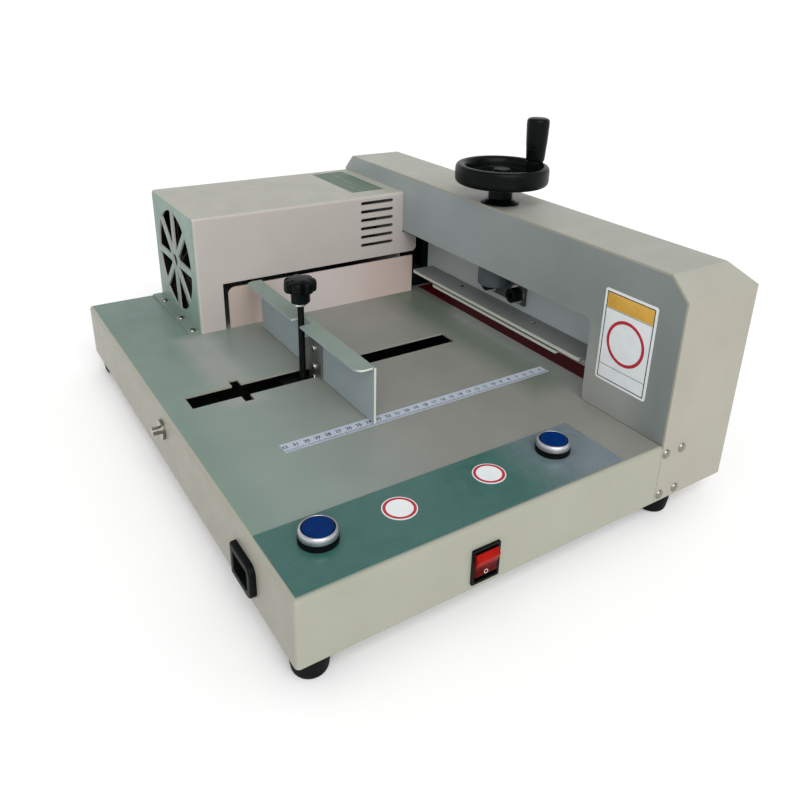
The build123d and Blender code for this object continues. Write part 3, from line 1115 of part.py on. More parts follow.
def fence_bracket():
    """Angle that joins the gauge plate to the slider through the slot."""
    x0, x1 = FENCE_X[0] - ANGLE_THICK, FENCE_X[0]
    angle = block(x0, x1, ANGLE_Y[0], ANGLE_Y[1], ANGLE_FOOT, ANGLE_TOP)
    angle += block(x0, x1, ANGLE_TAIL_Y[0], ANGLE_TAIL_Y[1], ANGLE_TAIL, ANGLE_FOOT)
    angle += block(ANGLE_LEG_X, x0, ANGLE_Y[1] - ANGLE_THICK, ANGLE_Y[1], ANGLE_FOOT, ANGLE_TOP)
    return angle - fence_bores(x0, x1)


def fence_screws():
    """Three screws with their heads on the left, and two that hold the gauge on its slider."""
    screws = []
    left, right = FENCE_X[0] - ANGLE_THICK, FENCE_X[1]
    for z in FENCE_SCREWS_Z:
        head = bar_x(FENCE_SCREW_HEAD, left - FENCE_SCREW_HIGH, left, FENCE_SCREW_Y, z)
        head = fillet(head.edges().sort_by(Axis.X)[:1], FENCE_SCREW_HIGH * HALF_SHARE)
        screws.append(head + bar_x(FENCE_SCREW_SHANK, left, right, FENCE_SCREW_Y, z))
    for y in SLIDER_SCREWS_Y:
        head = bar_x(FENCE_SCREW_HEAD, right, right + FENCE_SCREW_HIGH, y, SLIDER_SCREW_Z)
        screws.append(head + bar_x(FENCE_SCREW_SHANK, SLIDER_SCREW_TIP, right, y, SLIDER_SCREW_Z))
    return Compound(children=screws)


def slider_block():
    """Block on the gauge rod that carries fence and lock."""
    body = block(SLIDER_X[0], SLIDER_X[1], SLIDER_Y[0], SLIDER_Y[1], SLIDER_Z[0], SLIDER_Z[1])
    body -= bar_x(ROD_RADIUS + FIT, SLIDER_X[0] - PAST, SLIDER_X[1] + PAST, GAUGE_Y, ROD_Z)
    for y in SLIDER_SCREWS_Y:
        body -= bar_x(FENCE_SCREW_SHANK + FIT, SLIDER_SCREW_TIP, SLIDER_X[1] + PAST, y, SLIDER_SCREW_Z)
    return body - post(LOCK_RADIUS + FIT, LOCK_X, LOCK_Y, ROD_Z, SLIDER_Z[1] + PAST)


def lock_knob():
    """Lobed knob on the lock rod."""
    star = post(KNOB_CORE, LOCK_X, LOCK_Y, KNOB_FOOT, KNOB_TOP)
    for i in range(KNOB_LOBES):
        turn = 2 * pi * (i + HALF_SHARE) / KNOB_LOBES
        x, y = LOCK_X + KNOB_LOBE_AT * cos(turn), LOCK_Y + KNOB_LOBE_AT * sin(turn)
        star += post(KNOB_LOBE, x, y, KNOB_FOOT, KNOB_TOP)
    crown = outline_of(KNOB_CROWN_SHARES, (0, KNOB_FOOT), (KNOB_EDGE, KNOB_HIGH))
    star &= turned(crown, LOCK_X, LOCK_Y)
    star += post(KNOB_HUB_RADIUS, LOCK_X, LOCK_Y, WASHER_Z[1], KNOB_FOOT)
    return star - post(LOCK_RADIUS + FIT, LOCK_X, LOCK_Y, WASHER_Z[1] - PAST, LOCK_TOP)


def lock_rod():
    """Threaded rod with the washer under the knob."""
    rod = post(LOCK_RADIUS, LOCK_X, LOCK_Y, LOCK_TIP, LOCK_TOP)
    return rod + post(WASHER_RADIUS, LOCK_X, LOCK_Y, WASHER_Z[0], WASHER_Z[1])


def rod_flange():
    """Bright flange and post on the left side that hold the gauge rod's end."""
    flange = bar_x(FLANGE_RADIUS, -FLANGE_OUT, 0, GAUGE_Y, ROD_Z)
    flange += bar_x(POST_RADIUS, -POST_OUT, -FLANGE_OUT, GAUGE_Y, ROD_Z)
    flange += bar_x(SLEEVE_RADIUS, 0, SLEEVE_IN, GAUGE_Y, ROD_Z)
    return flange - bar_x(ROD_RADIUS + FIT, 0, SLEEVE_IN + PAST, GAUGE_Y, ROD_Z)


def rod_bracket():
    """Block under the table that holds the other end of the gauge rod."""
    body = block(ROD_BRACKET_X[0], ROD_BRACKET_X[1], ROD_BRACKET_Y[0], ROD_BRACKET_Y[1],
                 ROD_BRACKET_Z[0], ROD_BRACKET_Z[1])
    return body - bar_x(ROD_RADIUS + FIT, ROD_BRACKET_X[0] - PAST, ROD_END, GAUGE_Y, ROD_Z)


def button_collars():
    """Black collar, barrel and ring nut of each push button."""
    bodies = []
    for x in BUTTONS_X:
        body = post(COLLAR_RADIUS, x, BUTTON_Y, PANEL_TOP, BEZEL_FOOT)
        body += post(BARREL_RADIUS, x, BUTTON_Y, BARREL_FOOT, PANEL_TOP)
        body += post(NUT_RADIUS, x, BUTTON_Y, TABLE - SHEET - NUT_HIGH, TABLE - SHEET)
        bodies.append(body - post(BARREL_BORE, x, BUTTON_Y, BARREL_FOOT - PAST, BEZEL_TOP))
    return Compound(children=bodies)


def button_bezels():
    """Bright ring round each cap."""
    rings = []
    for x in BUTTONS_X:
        ring = post(BEZEL_RADIUS, x, BUTTON_Y, BEZEL_FOOT, BEZEL_TOP)
        ring = fillet(ring.edges().sort_by(Axis.Z)[-1:], BEZEL_ROUND)
        rings.append(ring - post(BEZEL_LIP, x, BUTTON_Y, BEZEL_FOOT - PAST, BEZEL_TOP + PAST))
    return Compound(children=rings)


def button_cap(x):
    """Flat cap on a stem."""
    top = BEZEL_TOP + CAP_RISE
    cap = post(CAP_RADIUS, x, BUTTON_Y, top - CAP_SKIRT, top)
    cap = fillet(cap.edges().sort_by(Axis.Z)[-1:], CAP_ROUND)
    return cap + post(STEM_RADIUS, x, BUTTON_Y, top - CAP_SKIRT - STEM_LONG, top - CAP_SKIRT)


def contact_blocks():
    """Switch block under each push button."""
    return Compound(children=[
        block(x - CONTACT_WIDE, x + CONTACT_WIDE, BUTTON_Y - CONTACT_DEEP, BUTTON_Y + CONTACT_DEEP,
              CONTACT_FOOT, BARREL_FOOT) for x in BUTTONS_X])


def rocker_frame():
    """Black frame and body of the mains switch."""
    wide, high = (size * HALF_SHARE for size in ROCKER_FRAME)
    frame = block(ROCKER_X - wide, ROCKER_X + wide, -ROCKER_FRAME_OUT, 0, ROCKER_Z - high, ROCKER_Z + high)
    frame = fillet(frame.edges().filter_by(Axis.Y), ROCKER_FRAME_OUT * HALF_SHARE)
    wide, high = (size * HALF_SHARE for size in ROCKER_BODY)
    frame += block(ROCKER_X - wide, ROCKER_X + wide, 0, ROCKER_BODY_DEEP, ROCKER_Z - high, ROCKER_Z + high)
    wide, high = (size * HALF_SHARE for size in ROCKER_OPEN)
    return frame - block(ROCKER_X - wide, ROCKER_X + wide, -ROCKER_FRAME_OUT - PAST, ROCKER_POCKET,
                         ROCKER_Z - high, ROCKER_Z + high)


def rocker_paddle():
    """Rocker with its lower half pressed in."""
    half = PADDLE_WIDE * HALF_SHARE
    paddle = plate_x(outline_of(PADDLE_SHARES, (0, 0), (PADDLE_RISE, PADDLE_HALF)), -half, half)
    paddle = fillet(paddle.edges().filter_by(Axis.X).sort_by(Axis.Y)[:2], PADDLE_ROUND)
    return Pos(ROCKER_X, PADDLE_PIVOT_Y, ROCKER_Z) * Rot(PADDLE_TILT, 0, 0) * paddle


def power_inlet():
    """Mains inlet: a flange with its front corners cut, and a body with its socket."""
    wide, high = (size * HALF_SHARE for size in INLET_SIZE)
    (y0, y1), (z0, z1) = about(INLET_AT, wide), about(INLET_Z, high)
    outline = [(y0 + INLET_CUT, z0), (y1 - INLET_CORNER, z0), (y1, z0 + INLET_CORNER),
               (y1, z1 - INLET_CORNER), (y1 - INLET_CORNER, z1), (y0 + INLET_CUT, z1),
               (y0, z1 - INLET_CUT), (y0, z0 + INLET_CUT)]
    inlet = plate_x(outline, -INLET_OUT, 0)
    wide, high = (size * HALF_SHARE for size in INLET_BODY)
    inlet += block(0, INLET_DEEP, INLET_AT - wide, INLET_AT + wide, INLET_Z - high, INLET_Z + high)
    wide, high = (size * HALF_SHARE for size in INLET_MOUTH)
    mouth = block(-INLET_OUT - PAST, INLET_MOUTH_DEEP, INLET_AT - wide, INLET_AT + wide,
                  INLET_Z - high, INLET_Z + high)
    return inlet - fillet(mouth.edges().filter_by(Axis.X), INLET_MOUTH_ROUND)


def inlet_pins():
    """Three flat pins on the socket's floor."""
    thick, high = (size * HALF_SHARE for size in PIN_SIZE)
    places = ((-PIN_SPREAD, -PIN_DROP * HALF_SHARE), (0, PIN_DROP), (PIN_SPREAD, -PIN_DROP * HALF_SHARE))
    return Compound(children=[
        block(INLET_MOUTH_DEEP - PIN_OUT, INLET_MOUTH_DEEP, INLET_AT + y - thick, INLET_AT + y + thick,
              INLET_Z + z - high, INLET_Z + z + high) for y, z in places])


def dome_screw():
    """Dome-headed screw that points down, its head on z = 0."""
    head = Cylinder(DOME_RADIUS, DOME_HIGH, align=ON_END)
    head = fillet(head.edges().sort_by(Axis.Z)[-1:], DOME_ROUND)
    return head + post(DOME_SHANK, 0, 0, -DOME_LONG, 0)


def cover_screws():
    """Screws in the gate's front and in the motor cover's foot."""
    screws = [Pos(x, 0, z) * Rot(QUARTER_TURN, 0, 0) * dome_screw() for x, z in GATE_SCREWS]
    screws += [Pos(HOUSE_SCREW_X, y, TABLE + SHEET) * dome_screw() for y in HOUSE_SCREWS_Y]
    return Compound(children=screws)


def bottom_plate():
    """Sheet that closes the machine from below."""
    plate = block(BOTTOM_X[0], BOTTOM_X[1], BOTTOM_Y[0], BOTTOM_Y[1], FOOT_HIGH, UNDERSIDE)
    for x in FEET_X:
        for y in FEET_Y:
            plate -= post(FOOT_SCREW_SHANK + FIT, x, y, FOOT_HIGH - PAST, UNDERSIDE + PAST)
    return plate


def foot(x, y):
    """Rubber foot with a well for its screw."""
    hole = FOOT_SCREW_SHANK + SLIDE_GAP
    outline = outline_of(FOOT_SHARES, (0, 0), (FOOT_RADIUS, FOOT_HIGH))
    outline += [(FOOT_WELL, 0), (FOOT_WELL, FOOT_WELL_DEEP), (hole, FOOT_WELL_DEEP), (hole, FOOT_HIGH)]
    return turned(outline, x, y)


def foot_screws():
    """Screw inside each foot."""
    return Compound(children=[
        post(FOOT_SCREW_HEAD, x, y, FOOT_WELL_DEEP - FOOT_SCREW_HIGH, FOOT_WELL_DEEP)
        + post(FOOT_SCREW_SHANK, x, y, FOOT_WELL_DEEP, UNDERSIDE + FOOT_SCREW_UP)
        for x in FEET_X for y in FEET_Y])


def control_box():
    """Box of the controls on the bottom sheet."""
    box = block(BOARD_X[0], BOARD_X[1], BOARD_Y[0], BOARD_Y[1], UNDERSIDE, BOARD_TOP)
    box = fillet(box.edges().filter_by(Axis.Z), BOARD_ROUND)
    step = (BOARD_X[1] - BOARD_X[0]) / (BOARD_RIBS + 1)
    for i in range(BOARD_RIBS):
        x = BOARD_X[0] + step * (i + 1)
        box -= block(x, x + BOARD_RIB_WIDE, BOARD_Y[0] + BOARD_ROUND, BOARD_Y[1] - BOARD_ROUND,
                     BOARD_TOP - BOARD_RIB_DEEP, BOARD_TOP + PAST)
    return box


def control_panel():
    """Thin plate under the push buttons."""
    plate = block(PANEL_X[0], PANEL_X[1], PANEL_Y[0], PANEL_Y[1], TABLE, PANEL_TOP)
    for x in BUTTONS_X:
        plate -= post(BUTTON_HOLE, x, BUTTON_Y, TABLE - PAST, PANEL_TOP + PAST)
    return plate


def labels():
    """Blank plate on the gate and two blank round plates on the control panel."""
    plate = block(BASE_WIDTH - LABEL_THICK, BASE_WIDTH, LABEL_Y[0], LABEL_Y[1], LABEL_Z[0], LABEL_Z[1])
    plate = fillet(plate.edges().filter_by(Axis.X), LABEL_ROUND)
    discs = [post(DISC_RADIUS, x, y, PANEL_TOP, PANEL_TOP + LABEL_THICK) for x, y in DISCS]
    return Compound(children=[plate] + discs)


parts["base_shell"] = base_shell()
parts["bottom_plate"] = bottom_plate()
parts["feet"] = Compound(children=[foot(x, y) for x in FEET_X for y in FEET_Y])
parts["foot_screws"] = foot_screws()
parts["gate_cover"] = gate_cover()
parts["gate_window_panel"] = window_panel()
parts["gate_side_panel"] = side_panel()
parts["gate_cheeks"] = gate_cheeks()
parts["cross_beam"] = cross_beam()
parts["table_bed"] = table_bed()
parts["cutting_stick"] = block(STICK_X[0] + STICK_GAP, STICK_X[1] - STICK_GAP, WINDOW_Y[0] + STICK_GAP,
                               WINDOW_Y[1] - STICK_GAP, TABLE - STICK_HIGH, TABLE)
parts["clamp_beam"] = clamp_beam()
parts["clamp_pad"] = clamp_pad()
parts["screw_boss"] = screw_boss()
parts["boss_bolts"] = boss_bolts()
parts["screw_bush"] = screw_bush()
parts["clamp_screw"] = clamp_screw()
parts["handwheel"] = handwheel()
parts["handle_grip"] = handle_grip()
parts["grip_pin"] = post(GRIP_PIN_RADIUS, GRIP_X, GRIP_Y, GRIP_PIN_Z[0], GRIP_PIN_Z[1])
parts["knife_carrier"] = knife_carrier()
parts["knife_blade"] = blade()
parts["blade_screws"] = Compound(children=[
    headed_x(BLADE_SCREW_HEAD, BLADE_SCREW_HIGH, BLADE_SCREW_SHANK, BLADE_SCREW_TIP, CARRIER_X[1], y,
             BLADE_SCREW_Z) for y in BLADE_SCREWS_Y])
parts["guide_bolts"] = Compound(children=[
    headed_x(GUIDE_HEAD, GUIDE_HEAD_HIGH, GUIDE_RADIUS, GUIDE_TIP, GUIDE_FACE, y, GUIDE_Z) for y in GUIDES_Y])
parts["knife_rack"] = rack()
parts["drive_pinion"] = pinion()
parts["drive_shaft"] = bar_x(SHAFT_RADIUS, SHAFT_X[0], SHAFT_X[1], GEAR_Y, GEAR_Z)
parts["shaft_bearing"] = bearing_plate()
parts["gearbox"] = gearbox()
parts["motor"] = motor()
parts["housing"] = housing()
parts["fan_frame"] = fan_frame()
parts["fan_rotor"] = fan_rotor()
parts["side_fence"] = side_fence()
parts["guide_rod"] = bar_x(ROD_RADIUS, 0, ROD_END, GAUGE_Y, ROD_Z)
parts["rod_flange"] = rod_flange()
parts["rod_bracket"] = rod_bracket()
parts["slider_block"] = slider_block()
parts["fence_plate"] = fence_plate()
parts["fence_bracket"] = fence_bracket()
parts["fence_screws"] = fence_screws()
parts["lock_rod"] = lock_rod()
parts["lock_knob"] = lock_knob()
parts["control_panel"] = control_panel()
parts["button_collars"] = button_collars()
parts["button_bezels"] = button_bezels()
parts["button_cap_left"] = button_cap(BUTTONS_X[0])
parts["button_cap_right"] = button_cap(BUTTONS_X[1])
parts["contact_blocks"] = contact_blocks()
parts["rocker_frame"] = rocker_frame()
parts["rocker_paddle"] = rocker_paddle()
parts["power_inlet"] = power_inlet()
parts["inlet_pins"] = inlet_pins()
parts["ruler_strip"] = block(RULER_X[0], RULER_X[1], RULER_Y[0], RULER_Y[1], TABLE, TABLE + RULER_HIGH)
parts["labels"] = labels()
parts["cover_screws"] = cover_screws()
parts["control_box"] = control_box()

# One move puts the origin at the middle of the footprint, on the floor
to_middle = Pos(-(RIGHT - POST_OUT) * HALF_SHARE, -(DEPTH - ROCKER_OUT) * HALF_SHARE, 0)
os.makedirs("parts", exist_ok=True)
for name, shape in parts.items():
    moved = to_middle * shape
    export_step(moved, f"parts/{name}.step")
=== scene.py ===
# %% [markdown]
# A table-top guillotine for paper. The sheet-metal table, the bridge, the clamp, the knife and the
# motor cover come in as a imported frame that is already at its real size, in metres. This lesson
# gives every piece of it a finish, and makes the rounded, printed and moulded pieces anew as
# smooth surfaces, each on the place of the frame's own piece. X runs to the right, Y to the back
# and Z up, and the machine stands on Z = 0.

import json
from math import cos, degrees, pi, radians, sin

import bmesh
import bpy
import numpy as np
from mathutils import Matrix, Vector


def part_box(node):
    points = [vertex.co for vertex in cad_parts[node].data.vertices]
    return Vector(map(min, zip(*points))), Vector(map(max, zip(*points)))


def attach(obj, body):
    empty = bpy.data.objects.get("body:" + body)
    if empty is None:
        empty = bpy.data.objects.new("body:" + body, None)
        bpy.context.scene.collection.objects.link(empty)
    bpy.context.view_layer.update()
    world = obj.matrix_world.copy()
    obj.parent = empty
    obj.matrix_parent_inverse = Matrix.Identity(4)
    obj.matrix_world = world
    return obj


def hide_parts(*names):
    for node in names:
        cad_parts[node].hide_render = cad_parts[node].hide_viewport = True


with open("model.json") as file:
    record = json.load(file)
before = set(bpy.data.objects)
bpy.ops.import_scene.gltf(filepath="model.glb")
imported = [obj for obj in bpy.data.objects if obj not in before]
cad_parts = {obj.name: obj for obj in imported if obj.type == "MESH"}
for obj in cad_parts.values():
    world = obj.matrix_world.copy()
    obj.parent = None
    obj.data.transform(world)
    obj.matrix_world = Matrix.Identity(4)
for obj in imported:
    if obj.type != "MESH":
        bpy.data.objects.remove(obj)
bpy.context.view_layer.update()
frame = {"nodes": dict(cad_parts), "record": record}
nodes = frame["nodes"]
MM = 0.001

# %% [markdown]
# The camera stands in front and to the left, a little above the machine, and looks down on it.
# Its place and its turn were found from the machine's own right angles in the photograph. The
# picture is as wide as 36 mm of film, so the lens is the focal length in picture widths times
# 36. The picture was cropped off centre, which a small shift repeats.

# %% Camera
CAMERA_PLACE = (-0.3576, -0.6180, 0.4298)
CAMERA_HEADING = 34.23
CAMERA_TILT = -23.16
CAMERA_ROLL = 1.79
FILM_WIDTH = 36.0
PICTURE = 800
FOCAL_PIXELS = 764.15
CENTRE_PIXEL = (417.4, 319.0)

lens = bpy.data.cameras.new("camera")
lens.sensor_width = FILM_WIDTH
lens.lens = FILM_WIDTH * FOCAL_PIXELS / PICTURE
lens.shift_x = 0.5 - CENTRE_PIXEL[0] / PICTURE
lens.shift_y = CENTRE_PIXEL[1] / PICTURE - 0.5
lens.clip_start = 0.01
camera = bpy.data.objects.new("camera", lens)
bpy.context.scene.collection.objects.link(camera)
camera.matrix_world = (Matrix.Translation(CAMERA_PLACE)
                       @ Matrix.Rotation(radians(-CAMERA_HEADING), 4, "Z")
                       @ Matrix.Rotation(radians(90 + CAMERA_TILT), 4, "X")
                       @ Matrix.Rotation(radians(CAMERA_ROLL), 4, "Z"))
bpy.context.scene.camera = camera
print("camera: lens", round(lens.lens, 2), "mm, shift", round(lens.shift_x, 4), round(lens.shift_y, 4))

# %% [markdown]
# A colour is easiest to name as the six-digit value that a paint chart or a picture gives. Light
# is worked out on linear values, so one function turns the first into the second.

# %% Colours
def colour(code):
    """An sRGB hex code as linear red, green, blue and an opacity of 1."""
    shares = np.array([int(code[i:i + 2], 16) for i in (1, 3, 5)]) / 255
    linear = np.where(shares <= 0.04045, shares / 12.92, ((shares + 0.055) / 1.055) ** 2.4)
    return (*linear.tolist(), 1.0)


print("colours: mid grey is", round(colour("#808080")[0], 3), "of full light")

# %% [markdown]
# A material is a small network of nodes: patterns first, then one shader that turns them into a
# surface, then the output. One function adds a node, sets it and joins it to the ones before it, so
# each finish below reads as a short list of steps. Two more start an empty material and end it.

# %% Materials
def node(owner, kind, result=0, settings=None, **inputs):
    """Adds a node to a material or a world and gives the output of that name or number. Settings are
    the node's options. Each input is a value or the output that feeds it: an underscore stands for a
    space, and in_1 names an input by its number."""
    tree = owner.node_tree
    made = tree.nodes.new(kind)
    for name, value in (settings or {}).items():
        setattr(made, name, value)
    for name, value in inputs.items():
        socket = made.inputs[int(name[3:]) if name.startswith("in_") else name.replace("_", " ")]
        if isinstance(value, bpy.types.NodeSocket):
            tree.links.new(value, socket)
        else:
            socket.default_value = value
    return made.outputs[result] if len(made.outputs) else made


def blank(name):
    """A new material with no nodes yet."""
    material = bpy.data.materials.new(name)
    material.use_nodes = True
    material.node_tree.nodes.clear()
    return material


def finished(material, **shader):
    """Ends a material with its shader. What is even all over sits on the shader's own sockets."""
    skin = node(material, "ShaderNodeBsdfPrincipled", "BSDF", **shader)
    node(material, "ShaderNodeOutputMaterial", Surface=skin)
    return material


print("materials: helpers ready")

# %% [markdown]
# No coat, moulding or ground face is quite even. Noise drawn on the machine's own metres gives each
# finish its small changes of colour, gloss and height. Such noise seldom leaves the range from 0.3
# to 0.7, so each finish spreads its own two values over that range.

# %% Noise
SPREAD = {"From_Min": 0.3, "From_Max": 0.7}
NOISE_ROUGHNESS = 0.55


def speckle(material, size, detail=3.0, stretch=(1, 1, 1)):
    """Cloudy noise whose blobs are about size metres across, drawn out along an axis by a small
    stretch there."""
    place = node(material, "ShaderNodeTexCoord", "Object")
    place = node(material, "ShaderNodeMapping", "Vector", Vector=place, Scale=stretch)
    return node(material, "ShaderNodeTexNoise", "Fac", Vector=place, Scale=1 / size, Detail=detail,
                Roughness=NOISE_ROUGHNESS)


def cloudy(material, cloud, low, high):
    """A colour between two near ones: low plus the cloud's share of the way to high."""
    share = node(material, "ShaderNodeMapRange", "Result", Value=cloud, **SPREAD)
    return node(material, "ShaderNodeMix", 2, {"data_type": "RGBA"}, in_0=share, in_6=colour(low),
                in_7=colour(high))


print("noise: ready")

# %% [markdown]
# The same coat looks different on faces that look different ways, because the light falls on them
# differently. A share from the direction of the surface lets one material hold two tones, which mostly paint
# that light and shade into the colour. A share from the place lets a tone drift slowly over a wide sheet, and
# a soft-edged rectangle of the plan marks a spot that is lighter or darker than the rest. The drifts and
# spots below are painted light and shade.

# %% Tones and painted light by direction and place
def facing(material, direction):
    """From 0 to 1 as the cosine between the surface's direction and this one goes from 0.5 to 0.9."""
    normal = node(material, "ShaderNodeTexCoord", "Normal")
    cosine = node(material, "ShaderNodeVectorMath", "Value", {"operation": "DOT_PRODUCT"}, in_0=normal,
                  in_1=direction)
    return node(material, "ShaderNodeMapRange", "Result", Value=cosine, From_Min=0.5, From_Max=0.9)


def along(material, axis, start, end):
    """From 0 at the start to 1 at the end, in metres along the axis X, Y or Z."""
    place = node(material, "ShaderNodeTexCoord", "Object")
    level = node(material, "ShaderNodeSeparateXYZ", axis, Vector=place)
    return node(material, "ShaderNodeMapRange", "Result", Value=level, From_Min=start, From_Max=end)


def inside(material, low, high, soft):
    """1 inside a rectangle of the plan between two (x, y) corners, 0 further than soft outside it. The
    way outside is the larger of |x - centre| - half and |y - centre| - half."""
    centre = ((low[0] + high[0]) / 2, (low[1] + high[1]) / 2, 0)
    half = ((high[0] - low[0]) / 2, (high[1] - low[1]) / 2, 0)
    place = node(material, "ShaderNodeTexCoord", "Object")
    less, unsigned = {"operation": "SUBTRACT"}, {"operation": "ABSOLUTE"}
    offset = node(material, "ShaderNodeVectorMath", "Vector", less, in_0=place, in_1=centre)
    length = node(material, "ShaderNodeVectorMath", "Vector", unsigned, in_0=offset)
    past = node(material, "ShaderNodeVectorMath", "Vector", less, in_0=length, in_1=half)
    past_x, past_y = (node(material, "ShaderNodeSeparateXYZ", axis, Vector=past) for axis in "XY")
    outside = node(material, "ShaderNodeMath", "Value", {"operation": "MAXIMUM"}, in_0=past_x, in_1=past_y)
    return node(material, "ShaderNodeMapRange", "Result", Value=outside, From_Min=0.0, From_Max=soft,
                To_Min=1.0, To_Max=0.0)


def toned(material, cloud, low, high, drifts=(), faces=(), patches=()):
    """A cloudy colour between low and high. Over it lie drifts along an axis, faces that look along a
    direction, and patches inside rectangles, each with a low and a high of its own."""
    layers = [(along(material, *where), *pair) for *where, pair in drifts]
    layers += [(facing(material, direction), *pair) for direction, pair in faces]
    layers += [(inside(material, *where), *pair) for *where, pair in patches]
    tone = cloudy(material, cloud, low, high)
    for share, over_low, over_high in layers:
        over = cloudy(material, cloud, over_low, over_high)
        tone = node(material, "ShaderNodeMix", 2, {"data_type": "RGBA"}, in_0=share, in_6=tone, in_7=over)
    return tone


print("tones: by direction and by place")

# %% [markdown]
# Powder coat on folded sheet steel. It is sprayed on as dry powder and baked, which leaves a
# satin skin with a very fine orange peel. The peel of the real coat is about 1.5 mm from crest
# to crest and some hundredths of a millimetre high. To the eye it is a wide soft sheen that never
# mirrors, and the colour is slightly cloudy over a hand's breadth. Waves that low need no faces of
# their own: a bump node tilts the light as they would.

# %% Powder coat
CLOUD = 60 * MM
PEEL, PEEL_HIGH = 1.5 * MM, 0.03 * MM


def powder_coat(name, low, high, roughness=0.42, **tones):
    """Satin enamel between two near colours, with orange peel and a gloss that wanders a little."""
    material = blank(name)
    gloss = node(material, "ShaderNodeMapRange", "Result", Value=speckle(material, CLOUD / 3),
                 To_Min=roughness - 0.05, To_Max=roughness + 0.07, **SPREAD)
    peel = node(material, "ShaderNodeBump", "Normal", Height=speckle(material, PEEL, detail=2.0),
                Distance=PEEL_HIGH)
    return finished(material, Base_Color=toned(material, speckle(material, CLOUD), low, high, **tones),
                    Roughness=gloss, Normal=peel, Specular_IOR_Level=0.35)


LEFT_SIDE, FRONT_SIDE, UP_SIDE = (-1, 0, 0), (0, -1, 0), (0, 0, 1)
print("powder coat: ready")

# %% [markdown]
# The base and the bridge wear the coat in two tones: a warm grey cream outside, and a cooler grey
# green where the paper and the hands go. The places in the lists below are metres on the machine.

# %% Coats of the base and the bridge
# Grey cream on the bridge's cover. It reads as plain painted steel. Its top is a little greyer and greener as
# painted reflection.
CREAM = powder_coat("powder_coat_cream", "#989589", "#9D9A8E", faces=[(UP_SIDE, ("#999B91", "#9EA096"))])

# The same cream on the folded sides of the base, where its left side is in its own shade.
BASE_COAT = powder_coat("powder_coat_base", "#959688", "#9A9B8D", faces=[(LEFT_SIDE, ("#908E81", "#959387"))])

# The table top is smoother than the rest, because paper slides on it. Its coat is grey green, and its changes
# of tone are painted light: greener on the far left, a warm grey painted sheen towards the right, and painted
# shade and reflection darkening it towards the back. A patch of painted shade and reflection darkens it
# beside the knife, and a patch of painted reflection of the cover lightens it before the motor cover.
KNIFE_PAINTED_SHADE = ((0.12, -0.13), (0.14, 0.3), 35 * MM)
COVER_PAINTED_REFLECTION = ((-0.148, -0.02), (-0.128, 0.13), 18 * MM)
TABLE_TOP = powder_coat("powder_coat_table_top", "#7B8A83", "#818F88", roughness=0.36, drifts=[
    ("X", -0.17, -0.2, ("#71847B", "#778980")),
    ("Y", 0.0, 0.2, ("#61776E", "#677D74")),
    ("X", -0.15, -0.04, ("#7F807A", "#858680")),
], patches=[(*KNIFE_PAINTED_SHADE, ("#5F695E", "#656F64")), (*COVER_PAINTED_REFLECTION, ("#8A8F8B", "#90958F"))])

# The bridge's inner side is a cool grey. Painted shade darkens it towards the user and on its upper part,
# most at its front end. Under the table's level it is painted near black as painted shade, in the gap beside
# the cutting stick.
GATE_INSIDE = powder_coat("powder_coat_gate_inside", "#8E9797", "#949C9C", drifts=[
    ("Y", 0.02, -0.14, ("#7A827E", "#808784")),
    ("Z", 0.17, 0.11, ("#929490", "#989A96")),
    ("Y", -0.225, -0.262, ("#747B78", "#7A817E")),
    ("Z", 0.0805, 0.0795, ("#0E1110", "#141716")),
])
print("coats:", ", ".join(coat.name for coat in (CREAM, BASE_COAT, TABLE_TOP, GATE_INSIDE)))

# %% [markdown]
# The motor cover, its fence, the back gauge and the clamp were painted apart from the base, so each has a
# tone of its own. A part of the cover's top is pressed into louvres, and a painted green reflection darkens
# that part.

# %% Coats of the cover, the gauge and the clamp
# The cover is a pinkish grey. Its left side and the louvred part of its top are green grey as painted
# reflection, and the rest of its top is a greyer, darker tone as painted light.
LOUVRE_PAINTED_REFLECTION = ((0.0745, 0.1625), (0.1185, 0.2695), 0.5 * MM)
HOUSING = powder_coat("powder_coat_housing", "#AEA7A2", "#B3ACA7", faces=[
    (LEFT_SIDE, ("#71887C", "#7A9084")), (UP_SIDE, ("#9F9F94", "#A4A499")),
], patches=[(*LOUVRE_PAINTED_REFLECTION, ("#66786B", "#6C7D70"))])

# The fence under the cover is the same pinkish grey. Its changes of tone are painted light: darkest at its
# left end, in painted shade by the cover's post, lightest in its middle, and a little less light at its right
# end.
SIDE_PLATE = powder_coat("powder_coat_side_plate", "#AD9E95", "#B1A299", drifts=[
    ("X", -0.06, -0.02, ("#BFB6B3", "#C3BAB7")),
    ("X", 0.03, 0.1, ("#BCABA3", "#C0AFA7")),
])

# The back gauge is a bluish grey plate with a green grey lip. Its cut front edge gets a painted highlight.
FENCE = powder_coat("powder_coat_gauge", "#899497", "#8F9A9D", faces=[
    (UP_SIDE, ("#74837A", "#7A8980")), (FRONT_SIDE, ("#C6C8C1", "#CCCEC8"))])

# The clamp's beam is pale. Its top is a darker grey as painted shade, and its edge towards the paper is
# lighter as a painted highlight.
CLAMP = powder_coat("powder_coat_clamp", "#B2B9BA", "#B8BFC0", faces=[(UP_SIDE, ("#777D7B", "#7D8381"))])
CLAMP_EDGE_HIGHLIGHT = powder_coat("clamp_edge_painted_highlight", "#BCBFB5", "#C2C5BB")
print("coats:", ", ".join(coat.name for coat in (HOUSING, SIDE_PLATE, FENCE, CLAMP, CLAMP_EDGE_HIGHLIGHT)))

# %% [markdown]
# Bare and plated metal. Metal has no colour under its shine: it is the shine that is tinted. A
# grinding wheel or a lathe leaves fine parallel marks about half a millimetre apart, so the noise is
# drawn out along them. The marks blur a reflection across, and leave it long the other way.

